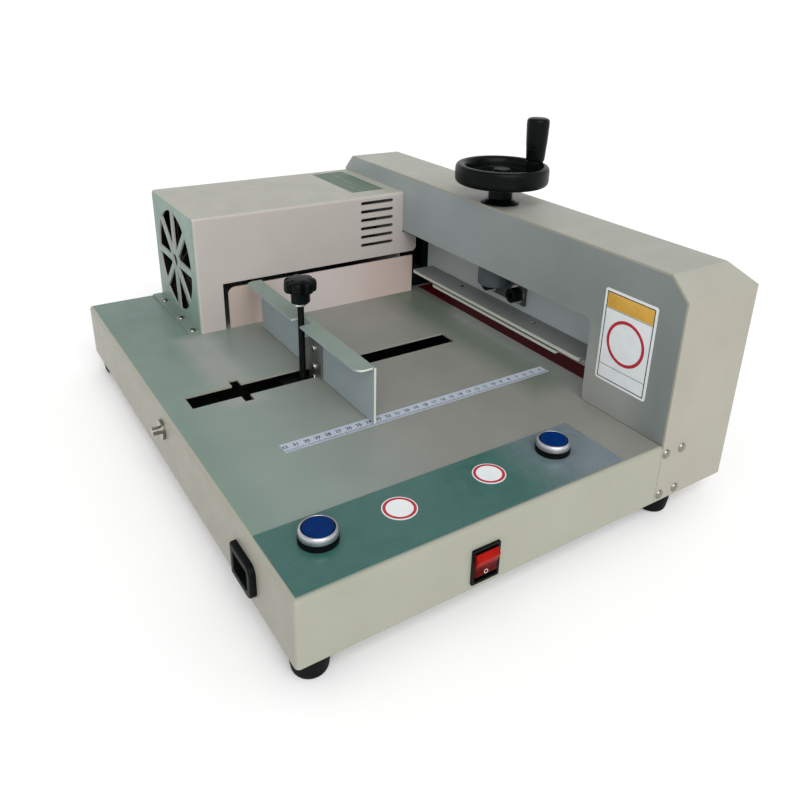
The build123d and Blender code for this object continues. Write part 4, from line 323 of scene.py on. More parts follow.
# %% Metals
def worked_metal(name, code, roughness, stretch=(1, 1, 1), grain=0.6 * MM):
    """Metal with marks of grinding or turning, drawn out along an axis by a small stretch there."""
    material = blank(name)
    marks = speckle(material, grain, detail=4.0, stretch=stretch)
    gloss = node(material, "ShaderNodeMapRange", "Result", Value=marks, To_Min=roughness - 0.06,
                 To_Max=roughness + 0.1, **SPREAD)
    relief = node(material, "ShaderNodeBump", "Normal", Height=marks, Distance=0.01 * MM)
    return finished(material, Base_Color=colour(code), Metallic=1.0, Roughness=gloss, Normal=relief)


ALONG_Y, TURNED_ABOUT_Z = (1, 0.05, 1), (0.1, 0.1, 1)
# Ground tool steel of knife and rods: a streaky grey shine along the blade.
STEEL = worked_metal("ground_steel", "#A2A39F", 0.36, ALONG_Y)
# Nickel plate on screws and washers: nearly white, with small sharp lights.
NICKEL = worked_metal("nickel_plate", "#D6D6D2", 0.16, grain=2 * MM)
# Turned aluminium of the button rings: a soft bright band that runs round the ring.
ALUMINIUM = worked_metal("turned_aluminium", "#BDBDC2", 0.4, TURNED_ABOUT_Z, grain=0.8 * MM)
# Polished steel of the dome screws: a dark dome with one hard light on it.
DOME_METAL = worked_metal("polished_steel", "#8C8A80", 0.15, TURNED_ABOUT_Z, grain=1 * MM)
# Zinc-plated sheet of the brackets: an even dull grey with faint patches.
ZINC = worked_metal("zinc_plated_sheet", "#B5B6B2", 0.38, grain=8 * MM)
# Blackened iron of rod, bolts and slider: almost black, with a matt glint on the edges.
BLACK_IRON = worked_metal("blackened_iron", "#1B1E1D", 0.55, grain=3 * MM)
# Brass plate on the inlet's pins: a warm yellow glint deep in a black mouth.
BRASS = worked_metal("brass_plated", "#C9A961", 0.25)
print("metals: steel, nickel, aluminium, polished steel, zinc, blackened iron and brass")

# %% [markdown]
# Moulded plastics, rubber and printed films have a colour in the body of the stuff and a thin
# clear shine on top. The mould leaves a grain of about half a millimetre. The blacks are kept deep
# by a low specular level, because they are lit by a room that is almost white.

# %% Plastics
def moulded(name, low, high, roughness, grain=0.5 * MM, depth=0.01 * MM, drifts=(), **shader):
    """Moulded plastic, film or rubber with the fine grain of its mould."""
    material = blank(name)
    cloud = speckle(material, 12 * MM)
    gloss = node(material, "ShaderNodeMapRange", "Result", Value=cloud, To_Min=roughness - 0.04,
                 To_Max=roughness + 0.06, **SPREAD)
    relief = node(material, "ShaderNodeBump", "Normal", Height=speckle(material, grain, detail=1.0),
                  Distance=depth)
    return finished(material, Base_Color=toned(material, cloud, low, high, drifts), Roughness=gloss,
                    Normal=relief, **shader)


# Phenolic resin of handwheel, grip and knob: deep black with soft lights along the rounded rims.
PHENOLIC = moulded("phenolic_black", "#040907", "#070D0A", 0.3, Specular_IOR_Level=0.09)
# Nylon of collars, switch frame and inlet: black too, but duller.
NYLON = moulded("nylon_black", "#040806", "#080D0B", 0.48, Specular_IOR_Level=0.1)
# Rubber of feet and seals: flat black that hardly shines.
RUBBER = moulded("rubber_black", "#060A08", "#0B0F0D", 0.7, grain=1 * MM, depth=0.04 * MM,
                 Specular_IOR_Level=0.1)
# ABS of the button caps: a deep even blue.
BLUE = moulded("abs_blue_gloss", "#00245A", "#002A68", 0.3, Specular_IOR_Level=0.04)
# Clear red polycarbonate of the rocker: painted light makes it bright red higher up, where it stands out, and
# painted shade keeps it dark red lower down, where it is deep.
RED = moulded("polycarbonate_red", "#4A0304", "#550405", 0.3, Specular_IOR_Level=0.04,
              drifts=[("Z", 0.042, 0.046, ("#8C130B", "#9C170E"))])
# Polypropylene of the cutting stick: dark red, waxy and dull.
STICK = moulded("polypropylene_dark_red", "#490A0E", "#540D11", 0.6, Specular_IOR_Level=0.02)
# Felt strip under the clamp: a soft grey that takes no light.
PAD = moulded("felt_grey_strip", "#8E9A92", "#98A49C", 0.6)
print("plastics: phenolic resin, nylon, rubber, blue, red, cutting stick and felt")

# %% [markdown]
# The control panel is a film printed from behind, so its colour lies under a smooth clear skin. The film is
# silver grey, and a painted green reflection covers its left part and fades out towards the right. The plates
# and the rule are films too, and what is printed on them is a thin even layer of ink. Motor and nut housing
# are enamelled.

# %% Films, inks and enamels
# The panel's film: smooth enough to show a blurred light beside the buttons. Its green is painted reflection.
PANEL_FILM = moulded("panel_film_painted_green_reflection", "#335D56", "#38635C", 0.26,
                     drifts=[("X", -0.01, 0.05, ("#66737A", "#6C787D"))])
# The plates' film: a clean white that looks like paper behind glass.
PAPER = moulded("printed_film_white", "#D9DEE0", "#E2E6E7", 0.4)
# The rule's film: a pale blue grey.
SCALE_FILM = moulded("printed_film_pale_grey", "#AAB3C0", "#B0B9C6", 0.35)
# Enamel on the motor and on the nut housing: dark and half dull, one nearly black, one slate grey.
PAINT = moulded("motor_enamel", "#2A2D30", "#33373A", 0.4)
SLATE = moulded("enamel_slate_grey", "#3C4447", "#454D50", 0.45)
# Screen-printing inks: opaque and even, a little duller than the film around them.
INK_BLACK = moulded("ink_black", "#1A1E20", "#23272A", 0.5)
INK_RED = moulded("ink_red", "#A81A2C", "#B52233", 0.4)
INK_AMBER = moulded("ink_amber", "#C99A3A", "#D3A446", 0.4)
INK_WHITE = moulded("ink_white", "#D8D6D0", "#E2E0DB", 0.4)
print("films: panel, plates and rule, with four inks and two enamels")

# %% [markdown]
# The pieces of the frame whose shape is already right keep their mesh and get their finish here.
# Each piece has a slot, which says what it is made of, and most slots mean one finish. A few pieces
# look different from the others in their slot and have a finish of their own.

# %% Dress the frame
FINISH_OF_SLOT = {
    "cream_enamel": CREAM, "gauge_plate": FENCE, "black_iron": BLACK_IRON, "steel": STEEL, "zinc_sheet": ZINC,
    "black_screws": BLACK_IRON, "bright_nickel": NICKEL, "black_bakelite": PHENOLIC, "black_nylon": NYLON,
    "brass_pins": BRASS, "blue_cap": BLUE, "red_rocker": RED, "red_stick": STICK, "pad_strip": PAD,
    "panel_print": PANEL_FILM, "scale_print": PAPER, "motor_paint": PAINT, "rubber": RUBBER,
}
OWN_FINISH = {
    "side_fence": SIDE_PLATE, "gate_window_panel": GATE_INSIDE, "screw_boss": SLATE,
    "ruler_strip": SCALE_FILM, "clamp_screw": BLACK_IRON, "slider_block": BLACK_IRON,
    "rod_flange": DOME_METAL,
}


def dress(name, *materials):
    """Gives a piece of the frame its materials."""
    mesh = nodes[name].data
    mesh.materials.clear()
    for material in materials:
        mesh.materials.append(material)


for piece in frame["record"]["subparts"]:
    dress(piece["node"], OWN_FINISH.get(piece["node"], FINISH_OF_SLOT[piece["material_slot"]]))

# %% [markdown]
# Some pieces have a second finish on a part of them, although both parts are in one mesh. A further material
# slot takes the faces that pass a test on where they lie and which way they look: here the top of the table,
# and the foot of the motor cover that is screwed down on it. The cover's foot takes the table's green grey as
# painted reflection.

# %% Second finishes
LOOKS_UP = 0.98
FOOT_THICK = 3 * MM


def dress_faces(name, first, *others):
    """Gives a piece its first finish, and each other finish to the faces that pass the test that comes
    with it. A test gets the centres and the normals of all faces, in metres."""
    mesh = nodes[name].data
    dress(name, first, *(material for material, _ in others))
    normals, centres = np.empty(len(mesh.polygons) * 3), np.empty(len(mesh.polygons) * 3)
    mesh.polygons.foreach_get("normal", normals)
    mesh.polygons.foreach_get("center", centres)
    index = np.zeros(len(mesh.polygons), np.int32)
    for number, (_, test) in enumerate(others, 1):
        index[test(centres.reshape(-1, 3), normals.reshape(-1, 3))] = number
    mesh.polygons.foreach_set("material_index", index)
    print(name, "faces per finish:", np.bincount(index).tolist())


def box_of(name):
    """Lowest and highest corner of a piece of the frame, as two arrays in metres."""
    low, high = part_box(name)
    return np.array(low), np.array(high)


foot_top = box_of("housing")[0][2] + FOOT_THICK
dress_faces("base_shell", BASE_COAT, (TABLE_TOP, lambda centre, normal: normal[:, 2] > LOOKS_UP))
# The motor cover's foot gets the table's green grey as painted reflection.
dress_faces("housing", HOUSING, (TABLE_TOP, lambda centre, normal: centre[:, 2] < foot_top))

# %% [markdown]
# The clamp is one beam with a lip. The lip's edge towards the paper gets a painted highlight, the guide shoe
# at its far end is black, and two small round pits in the lip are painted black as painted shade. The two
# black bolts that hold it to its nut have bright washers. All of these are faces of the frame's own pieces,
# so tests on their places are enough, and no new shape is needed.

# %% Finishes of the clamp
EDGE_DEEP = 1 * MM
SHOE_Y, SHOE_Z = 0.1401, 0.1
LIP_INSET, PIT_SHARES, PIT_IN, PIT_HALF = 22.5 * MM, (0.3, 0.73), 19 * MM, 3 * MM
PIT_LOW, PIT_HIGH = 2.2 * MM, 3.4 * MM
WASHER_IN = 8.9 * MM
clamp_low, clamp_high = box_of("clamp_beam")
washers_from = box_of("boss_bolts")[0][0] + WASHER_IN
pit_y = np.interp(PIT_SHARES, (0, 1), (clamp_low[1] + LIP_INSET, clamp_high[1] - LIP_INSET))


def on_edge(centre, normal):
    """Whether a face lies in the edge of the clamp that faces the paper, which gets a painted highlight."""
    return centre[:, 0] < clamp_low[0] + EDGE_DEEP


def on_shoe(centre, normal):
    """Whether a face belongs to the guide shoe at the clamp's far end."""
    return (centre[:, 1] > SHOE_Y) & (centre[:, 2] > SHOE_Z)


def in_pit(centre, normal):
    """Whether a face lies in one of the two pits in the lip of the clamp, painted black as painted shade."""
    near_y = np.abs(centre[:, 1:2] - pit_y).min(1) < PIT_HALF
    near_x = np.abs(centre[:, 0] - clamp_low[0] - PIT_IN) < PIT_HALF
    height = centre[:, 2] - clamp_low[2]
    return near_x & near_y & (height > PIT_LOW) & (height < PIT_HIGH)


# The clamp's edges get a painted highlight and its pits painted shade.
dress_faces("clamp_beam", CLAMP, (CLAMP_EDGE_HIGHLIGHT, on_edge), (BLACK_IRON, on_shoe), (BLACK_IRON, in_pit))
dress_faces("clamp_pad", CLAMP, (CLAMP_EDGE_HIGHLIGHT, on_edge))
dress_faces("boss_bolts", BLACK_IRON, (NICKEL, lambda centre, normal: centre[:, 0] > washers_from))

# %% [markdown]
# New pieces are surfaces: a grid of points, worked out as one array, with a quad between each
# four neighbours. Where the grid ends in one point, such as the top of a dome, the doubled points
# are merged, so that every skin is closed. Edges sharper than 38 degrees stay crisp.

# %% Surfaces
SHARP_EDGE = radians(38)
SAME_POINT = 0.5e-6


def quads_of(rows, columns):
    """Corner numbers of the quads of a grid whose columns run round and close on themselves: the
    point in row i and column j has the number i times columns plus j."""
    i, j = np.meshgrid(np.arange(rows - 1), np.arange(columns), indexing="ij")
    here, beside = i * columns + j, i * columns + (j + 1) % columns
    return np.stack([here, beside, beside + columns, here + columns], -1).reshape(-1, 4)


def surface(name, grids, material, body, stands_for=()):
    """One piece made of one or more grids of points in metres, that rides on a body."""
    points, faces, count = [], [], 0
    for grid in grids:
        rows, columns = grid.shape[:2]
        points.append(grid.reshape(-1, 3))
        faces.append(quads_of(rows, columns) + count)
        count += rows * columns
    mesh = bpy.data.meshes.new(name)
    mesh.from_pydata(np.vstack(points).tolist(), [], np.vstack(faces).tolist())
    work = bmesh.new()
    work.from_mesh(mesh)
    bmesh.ops.remove_doubles(work, verts=work.verts, dist=SAME_POINT)
    bmesh.ops.recalc_face_normals(work, faces=work.faces)
    work.to_mesh(mesh)
    work.free()
    mesh.materials.append(material)
    mesh.shade_smooth()
    mesh.set_sharp_from_angle(angle=SHARP_EDGE)
    piece = bpy.data.objects.new(name, mesh)
    bpy.context.scene.collection.objects.link(piece)
    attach(piece, body)
    if stands_for:
        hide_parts(*stands_for)
    print(name, len(mesh.polygons), "faces on", body)


print("surfaces: crisp over", round(degrees(SHARP_EDGE)), "degrees")

# %% [markdown]
# Most of the round pieces come off a lathe. A profile of radius and height turns about an upright
# line. Corners of the profile are softened first, because no moulded or turned edge is a knife.

# %% Lathe
def softened(profile, radius, steps=5):
    """Rounds the inner corners of a profile: each becomes a parabola that leaves the two sides at the
    radius, or at 0.45 of a shorter side."""
    path = np.array(profile, float)
    corner = path[1:-1]

    def toward(other):
        side = other - corner
        length = np.linalg.norm(side, axis=1, keepdims=True)
        return corner + side * np.minimum(radius / length, 0.45)

    t = np.linspace(0, 1, steps)[None, :, None]
    start, end = toward(path[:-2])[:, None], toward(path[2:])[:, None]
    bend = (1 - t) ** 2 * start + 2 * t * (1 - t) * corner[:, None] + t ** 2 * end
    return np.vstack([path[:1], bend.reshape(-1, 2), path[-1:]])


def lathe(profile, centre, turns=96, swell=None):
    """The point at radius r, height h and turn t is (r cos t, r sin t, h) in millimetres, moved to the
    centre in metres. Swell may change r by its place on the profile and the turn."""
    path = np.array(profile, float)
    turn = np.linspace(0, 2 * pi, turns, endpoint=False)[None, :]
    radius = path[:, :1] * (swell(path, turn) if swell else np.ones_like(turn))
    height = np.broadcast_to(path[:, 1:], radius.shape)
    return np.stack([radius * np.cos(turn), radius * np.sin(turn), height], -1) * MM + np.array(centre)


print("lathe: ready")

# %% [markdown]
# The handwheel is one moulding: a hub, a dished web and a heavy rim that the hand can grip from
# inside. The seat of the grip stands on the rim. A ring and a disc could be joined for it, but one
# profile from the hub to the rim and back has no seam, like the moulding itself.

# %% Handwheel
def centre_of(name):
    """Middle of a piece's box in plan, at the height of its foot."""
    low, high = box_of(name)
    return np.array([*(low + high)[:2] / 2, low[2]])


axis_place = centre_of("screw_bush")
axis_place[2] = box_of("handwheel")[0][2]
grip_place = centre_of("handle_grip")
WHEEL_PROFILE = [
    (0, 26.5), (11, 27.2), (14, 24.3), (22, 22.7), (36.4, 24.7), (37.2, 30.7), (38.6, 34.3), (41.5, 35.9),
    (45, 35.9), (47.4, 34.7), (48.4, 31.7), (48.4, 20.7), (47.4, 17.9), (45, 16.7), (36, 16.9), (20, 17.2),
    (14.5, 15.7), (12.4, 12.7), (12.6, 0), (6.1, 0), (0, 0.3),
]
SEAT_PROFILE = [(0, -13.3), (8.6, -13.3), (8.6, -0.3), (0, -0.3)]
surface("wheel", [lathe(softened(WHEEL_PROFILE, radius=1.6), axis_place, turns=144),
                  lathe(softened(SEAT_PROFILE, radius=0.6), grip_place, turns=60)],
        PHENOLIC, "screw", ["handwheel"])

# %% [markdown]
# The grip is a slim pear of the same black resin with a fine groove where its sleeve ends. It spins
# on a steel pin, so it is a piece of its own. The groove is just one more corner of its profile.

# %% Grip
GRIP_PROFILE = [
    (0, 0), (9.0, 0), (9.6, 0.9), (10.0, 6.6), (10.5, 12.9), (10.3, 13.3), (10.55, 13.7), (10.9, 17.6),
    (11.8, 37.9), (11.6, 41.2), (10.0, 43.2), (5.3, 44.0), (0, 44.1),
]
surface("grip", [lathe(softened(GRIP_PROFILE, radius=2.2), grip_place, turns=72)],
        PHENOLIC, "grip", ["handle_grip"])

# %% [markdown]
# The star knob of the back gauge has a low domed head with seven finger lobes over a fluted hub. It
# is still a lathe shape, but its radius swells and shrinks with the turn: a bell curve cuts each
# notch, and a slow wave makes the flutes of the hub.

# %% Star knob
LOBES, NOTCH_DEPTH, NOTCH_SHARE = 7, 0.24, 0.16
NOTCH_FROM, NOTCH_FADE = 6.0, 8.0
FLUTE_DEPTH = 0.05
KNOB_HEAD, HUB_TOP, HUB_RADIUS = 12.0, 11.5, 9.0
KNOB_PROFILE = [
    (0, 25), (8, 24.7), (12.8, 23.8), (15, 22.4), (15.7, 20.4), (15.7, 14.2), (15.1, 12.4),
    (13.6, 12), (10, 11.9), (9.2, 11.2), (9.2, 0.9), (8.6, 0.1), (0, 0),
]


def knob_swell(path, turn):
    """1 minus a bell curve at each notch between the lobes, which fades out towards the top, minus a
    wave on the hub."""
    gap = turn * LOBES / (2 * pi)
    notch = np.exp(-((gap - np.round(gap)) / NOTCH_SHARE) ** 2)
    head = (path[:, 1:] > KNOB_HEAD) * np.clip((path[:, :1] - NOTCH_FROM) / NOTCH_FADE, 0, 1)
    hub = (path[:, 1:] < HUB_TOP) * np.clip(path[:, :1] / HUB_RADIUS, 0, 1)
    return 1 - NOTCH_DEPTH * head * notch - FLUTE_DEPTH * hub * (0.5 + 0.5 * np.cos(LOBES * turn))


rod_place = centre_of("lock_rod")
knob_place = np.array([*rod_place[:2], box_of("lock_knob")[0][2]])
surface("star_knob", [lathe(softened(KNOB_PROFILE, radius=1.0), knob_place, turns=168, swell=knob_swell)],
        PHENOLIC, "lock", ["lock_knob"])

# %% [markdown]
# Under the knob stands a black threaded rod with a bright washer. The thread's crests are 1 mm
# apart. They are turned as rings, which at this size look the same as a helix.

# %% Lock rod
THREAD_PITCH, THREAD_DEPTH, ROD_RADIUS = 1.0, 0.18, 3.2
ROD_END, ROD_CHAMFER = 0.5, 0.6
rod_long = (box_of("lock_rod")[1][2] - rod_place[2]) / MM
height = np.arange(ROD_END, rod_long - ROD_END, THREAD_PITCH / 2)
ridge = ROD_RADIUS - THREAD_DEPTH * (np.arange(len(height)) % 2)
ROD_PROFILE = [(0, 0), (ROD_RADIUS - ROD_CHAMFER, 0), *np.stack([ridge, height], 1).tolist(),
               (ROD_RADIUS - ROD_CHAMFER, rod_long), (0, rod_long)]
surface("lock_spindle", [lathe(ROD_PROFILE, rod_place, turns=40)], BLACK_IRON, "lock", ["lock_rod"])
WASHER_PROFILE = [(3.1, -2.5), (5.5, -2.5), (5.5, 0), (3.1, 0), (3.1, -2.5)]
surface("lock_washer", [lathe(WASHER_PROFILE, knob_place, turns=48)], NICKEL, "lock")

# %% [markdown]
# Four rubber feet carry the machine. Each is a low round moulding with a well for its screw. One
# profile gives the taper and the well, and it is turned about the middle of each foot.

# %% Feet
low, high = box_of("feet")
FOOT_PROFILE = [
    (2.7, 21), (15.4, 21), (14.7, 12), (13.4, 3), (12.6, 0.8), (11.5, 0), (7, 0), (7, 5), (2.7, 5), (2.7, 21),
]
FOOT_OUT = 15.4 * MM
foot_places = [(x, y, 0.0) for x in (low[0] + FOOT_OUT, high[0] - FOOT_OUT)
               for y in (low[1] + FOOT_OUT, high[1] - FOOT_OUT)]
surface("rubber_feet", [lathe(softened(FOOT_PROFILE, radius=1.0), place, turns=64) for place in foot_places],
        RUBBER, "machine", ["feet"])

# %% [markdown]
# The push buttons are panel buttons with a turned aluminium ring and a nearly flush blue cap. The
# ring's top is rolled inwards over a black seal, which fills the gap to the cap and shows again
# below the ring. Each of the three is another stuff, so each has a profile of its own, and the
# profiles fit into one another. The collar under them comes from the frame.

# %% Push buttons
ring_low, ring_high = box_of("button_bezels")
RING_RADIUS = 14.4 * MM
button_y = (ring_low + ring_high)[1] / 2
button_xs = (ring_low[0] + RING_RADIUS, ring_high[0] - RING_RADIUS)


def on_both(profile, rounding):
    """The same turned shape at the left and at the right button."""
    return [lathe(softened(profile, rounding), (x, button_y, ring_low[2])) for x in button_xs]


RING_PROFILE = [(12.1, 1.1), (14.4, 1.1), (14.4, 4.4), (13.9, 6.2), (12.9, 7.1), (12.3, 7.1), (12.1, 6.4),
                (12.1, 1.1)]
SEAL_PROFILE = [(11.5, 0), (14.1, 0), (14.1, 1.1), (12.1, 1.1), (12.1, 6.2), (11.5, 6.2), (11.5, 0)]
surface("button_rings", on_both(RING_PROFILE, rounding=0.9), ALUMINIUM, "machine",
        ["button_bezels"])
surface("button_seals", on_both(SEAL_PROFILE, rounding=0.1), RUBBER, "machine")
CAP_PROFILE = [(0, 20.2), (6, 20.25), (10.2, 20.45), (10.9, 20.3), (11.3, 19.7), (11.3, 17), (5, 17), (5, 0),
               (0, 0)]
for side in ("left", "right"):
    cap_name = f"button_cap_{side}"
    surface(f"cap_{side}", [lathe(softened(CAP_PROFILE, radius=0.5), centre_of(cap_name))],
            BLUE, f"{side}_button", [cap_name])

# %% [markdown]
# The cover screws have plain domed heads of polished steel. Four sit in the bridge's front and three
# in the foot of the motor cover. They are all alike, so one screw is turned upright, moved to each
# place, and laid over for the front.

# %% Cover screws
SCREW_PROFILE = [(0, 2.2), (1.5, 2.1), (2.9, 1.7), (3.9, 1.05), (4.5, 0.25), (4.5, 0), (2, -0.05), (2, -8),
                 (0, -8)]
SCREWS_FRONT = [(x, z) for x in (137.2, 157.5) for z in (71.3, 29.6)]
SCREWS_FOOT = [(-132.5, y) for y in (151.0, 191.0, 251.9)]
FOOT_SHEET = 2 * MM
TO_FRONT = np.array([[1, 0, 0], [0, 0, 1], [0, -1, 0]])
front_y = box_of("gate_cover")[0][1]
lip_top = box_of("housing")[0][2] + FOOT_SHEET
upright = lathe(softened(SCREW_PROFILE, radius=0.6), (0, 0, 0), turns=48)
heads = [upright @ TO_FRONT + np.array([x * MM, front_y, z * MM]) for x, z in SCREWS_FRONT]
heads += [upright + np.array([x * MM, y * MM, lip_top]) for x, y in SCREWS_FOOT]
surface("dome_screws", heads, DOME_METAL, "machine", ["cover_screws"])

# %% [markdown]
# Plates, printed lines and the switch are slabs: an outline carried straight through a thickness,
# with a rounded rim on both faces. A band is a slab with a hole, closed all the way round. Both are
# made lying flat, and a new order of the three axes stands them up on a side that looks left.

# %% Slabs and bands
def rounded_box(low, high, radius, steps=6):
    """Outline of a rectangle, counterclockwise from the far right. Each corner is a quarter circle:
    centre plus radius times (cos t, sin t). The radius is one number or one for each corner."""
    turn = np.linspace(0, pi / 2, steps)[None, :] + np.arange(4)[:, None] * pi / 2
    radius = np.broadcast_to(radius, 4)[:, None]
    corner = np.array([[high[0], high[1]], [low[0], high[1]], [low[0], low[1]], [high[0], low[1]]])
    inwards = np.array([[-1, -1], [1, -1], [1, 1], [-1, 1]])
    centre = corner + radius * inwards
    return (centre[:, None] + radius[:, None] * np.stack([np.cos(turn), np.sin(turn)], -1)).reshape(-1, 2)


def circle(centre, radius, steps=72):
    """Outline of a circle, counterclockwise: centre plus radius times (cos t, sin t)."""
    turn = np.linspace(0, 2 * pi, steps, endpoint=False)
    return np.array(centre) + radius * np.stack([np.cos(turn), np.sin(turn)], -1)


def inward(outline, inset):
    """The outline moved inwards by the inset, square to its own run."""
    ahead = np.roll(outline, -1, 0) - np.roll(outline, 1, 0)
    return outline - inset * np.stack([ahead[:, 1], -ahead[:, 0]], 1) / np.linalg.norm(ahead, axis=1)[:, None]


def stacked(rings, levels):
    """A grid of outlines, each at its own level. An outline may be a single point."""
    count = max(len(np.atleast_2d(ring)) for ring in rings)
    rings = np.stack([np.broadcast_to(ring, (count, 2)) for ring in rings])
    heights = np.broadcast_to(np.array(levels)[:, None, None], (*rings.shape[:2], 1))
    return np.concatenate([rings, heights], -1)


def slab(outline, low, high, edge, steps=4):
    """From the middle of the lower face over its rim, up the wall, over the upper rim to the middle of
    the upper face. Each ring is the outline moved inwards by its inset."""
    turn = np.linspace(0, pi / 2, steps)
    inset = np.concatenate([edge * (1 - np.sin(turn)), edge * (1 - np.cos(turn))])
    level = np.concatenate([low + edge * (1 - np.cos(turn)), high - edge * (1 - np.sin(turn))])
    middle = outline.mean(0)
    return stacked([middle, *(inward(outline, i) for i in inset), middle], [low, *level, high])


def band(outer, inner, low, high):
    """Four rings: outer low, outer high, inner high and inner low, then the first again."""
    return stacked([outer, outer, inner, inner, outer], [low, high, high, low, low])


ON_LEFT = [2, 0, 1]
print("slabs and bands: ready")

# %% [markdown]
# The mains inlet is a moulded flange with a deep mouth for the plug. Two of its corners are rounded
# wide, so that the plug goes in one way only. All edges of the moulding are rounded. It is one pile
# of outlines, from its back over the rim and down into the mouth, so nothing has to be cut out.

# %% Mains inlet
low, high = box_of("power_inlet")
INLET_OUT, INLET_RIM, INLET_WALL, MOUTH_DEEP = 5 * MM, 3.2 * MM, 2.8 * MM, 14 * MM
SMALL_CORNER, WIDE_CORNER, BODY_CORNER, MOUTH_CORNER = 2.6 * MM, 7.5 * MM, 1 * MM, 2 * MM
wall_x = low[0] + INLET_OUT
flange = rounded_box(low[1:], high[1:], [SMALL_CORNER, WIDE_CORNER, WIDE_CORNER, SMALL_CORNER])
body = rounded_box(low[1:] + INLET_RIM, high[1:] - INLET_RIM, BODY_CORNER)
mouth = rounded_box(low[1:] + INLET_RIM + INLET_WALL, high[1:] - INLET_RIM - INLET_WALL, MOUTH_CORNER)
centre = body.mean(0)
EDGE = np.array([0.0, 0.1, 0.5, 1.1, 1.8]) * MM
LIP_OF_MOUTH = EDGE[2]
rings = [centre, body, body, flange, *(inward(flange, i) for i in EDGE), inward(mouth, -LIP_OF_MOUTH), mouth,
         mouth, centre]
levels = [high[0], high[0], wall_x, wall_x, *(low[0] + EDGE[::-1]), low[0], low[0] + LIP_OF_MOUTH,
          wall_x + MOUTH_DEEP, wall_x + MOUTH_DEEP]
surface("inlet", [stacked(rings, levels)[..., ON_LEFT]], NYLON, "machine", ["power_inlet"])

# %% [markdown]
# The round plates on the control panel are white with a red rim. Each rim is a printed ring, a
# band of ink 0.06 mm thick. Real ink is thinner, but then it would flicker against the plate.

# %% Rims of the round plates
PRINT_HIGH, PLATE_THICK = 0.06 * MM, 0.4 * MM
DISC_RADIUS = 13.6 * MM
RIM_IN, RIM_WIDE = 0.9 * MM, 2.3 * MM
RIM_RADIUS = DISC_RADIUS - RIM_IN
DISC_PLACES = [(-0.1055, -0.2320), (-0.0215, -0.2315)]
disc_top = box_of("control_panel")[1][2] + PLATE_THICK
surface("red_rims", [band(circle(place, RIM_RADIUS), circle(place, RIM_RADIUS - RIM_WIDE), disc_top,
                          disc_top + PRINT_HIGH) for place in DISC_PLACES],
        INK_RED, "machine")

# %% [markdown]
# The plate on the bridge's inner side has a black frame, an amber band at its head, a plain red
# ring and a line above its foot. They are printed on it, so they are thin slabs and bands as well.

# %% Plate on the bridge
plate_low = np.array([-0.25, 0.1105])
plate_high = np.array([-0.192, 0.198])
plate_face = box_of("gate_window_panel")[0][0] - PLATE_THICK
ink_face = plate_face - PRINT_HIGH
FRAME_INSET, LINE, LINE_CORNER = 2.4 * MM, 0.9 * MM, 0.3 * MM
PRINT_CORNER, PRINT_EDGE = 0.1 * MM, 0.01 * MM
HEAD_SHARE, FOOT_SHARE = 0.8, 0.18
RING_OUT, RING_IN = 21.2 * MM, 18.2 * MM


def frame_line(low, high, width):
    """A rectangular line as a band of outlines."""
    outer = rounded_box(low, high, LINE_CORNER)
    inner = rounded_box(low + width, high - width, PRINT_CORNER)
    return band(outer, inner, ink_face, plate_face)[..., ON_LEFT]


def level_at(share):
    """Height on the plate at a share of it."""
    return plate_low[1] + share * (plate_high[1] - plate_low[1])


def printed(low, high):
    """A printed area on the plate."""
    return slab(rounded_box(low, high, PRINT_CORNER), ink_face, plate_face, PRINT_EDGE)[..., ON_LEFT]


inside_low, inside_high = plate_low + FRAME_INSET, plate_high - FRAME_INSET
head, foot = level_at(HEAD_SHARE), level_at(FOOT_SHARE)
surface("plate_lines", [
    frame_line(inside_low, inside_high, LINE),
    frame_line(np.array([inside_low[0], foot]), np.array([inside_high[0], head]), LINE / 2),
], INK_BLACK, "machine")
surface("plate_head", [printed(np.array([inside_low[0] + LINE, head + LINE / 2]), inside_high - LINE)],
        INK_AMBER, "machine")
ring_centre = ((inside_low + inside_high)[0] / 2, (head + foot) / 2)
ring = band(circle(ring_centre, RING_OUT), circle(ring_centre, RING_IN), ink_face, plate_face)
surface("plate_ring", [ring[..., ON_LEFT]], INK_RED, "machine")

# %% [markdown]
# The rule on the table is a pale film with a line each millimetre and a number each centimetre.
# The numbers count from the knife to the left. A picture of a rule would blur when the camera comes
# near, so each line is a thin print above the film, and one array holds the corners of them all.

# %% Rule
low, high = box_of("ruler_strip")
ZERO_X = 0.1771
INK_HIGH = 0.05 * MM
TICK_WIDE, TICK_FROM_EDGE, END_MARGIN = 0.28 * MM, 0.4 * MM, 0.6
LONG_LINE, HALF_LINE, SHORT_LINE = 4.6 * MM, 3.6 * MM, 2.4 * MM
steps = np.arange(np.ceil((ZERO_X - high[0]) / MM + END_MARGIN), (ZERO_X - low[0]) / MM - END_MARGIN)
length = np.where(steps % 10 == 0, LONG_LINE, np.where(steps % 5 == 0, HALF_LINE, SHORT_LINE))
CORNERS = np.array([(-1, 0), (1, 0), (1, 1), (-1, 1)])
tick_x = (ZERO_X - steps * MM)[:, None] + CORNERS[None, :, 0] * TICK_WIDE / 2
tick_y = low[1] + TICK_FROM_EDGE + CORNERS[None, :, 1] * length[:, None]
tick = np.stack([tick_x, tick_y], -1)
middle = np.broadcast_to(tick.mean(1, keepdims=True), tick.shape)
ticks = np.stack([middle, tick, tick, middle], 1)
level = high[2] + INK_HIGH * np.array([0, 0, 1, 1])[None, :, None, None]
ticks = np.concatenate([ticks, np.broadcast_to(level, (*ticks.shape[:3], 1))], -1)
surface("rule_lines", list(ticks), INK_BLACK, "machine")
print("rule:", len(steps), "lines")

# %% [markdown]
# The numbers are plain printed digits. A text object draws each one, a little heavier than its
# typeface, and the mesh of it is then moved to its centimetre, so that all of them make one piece.

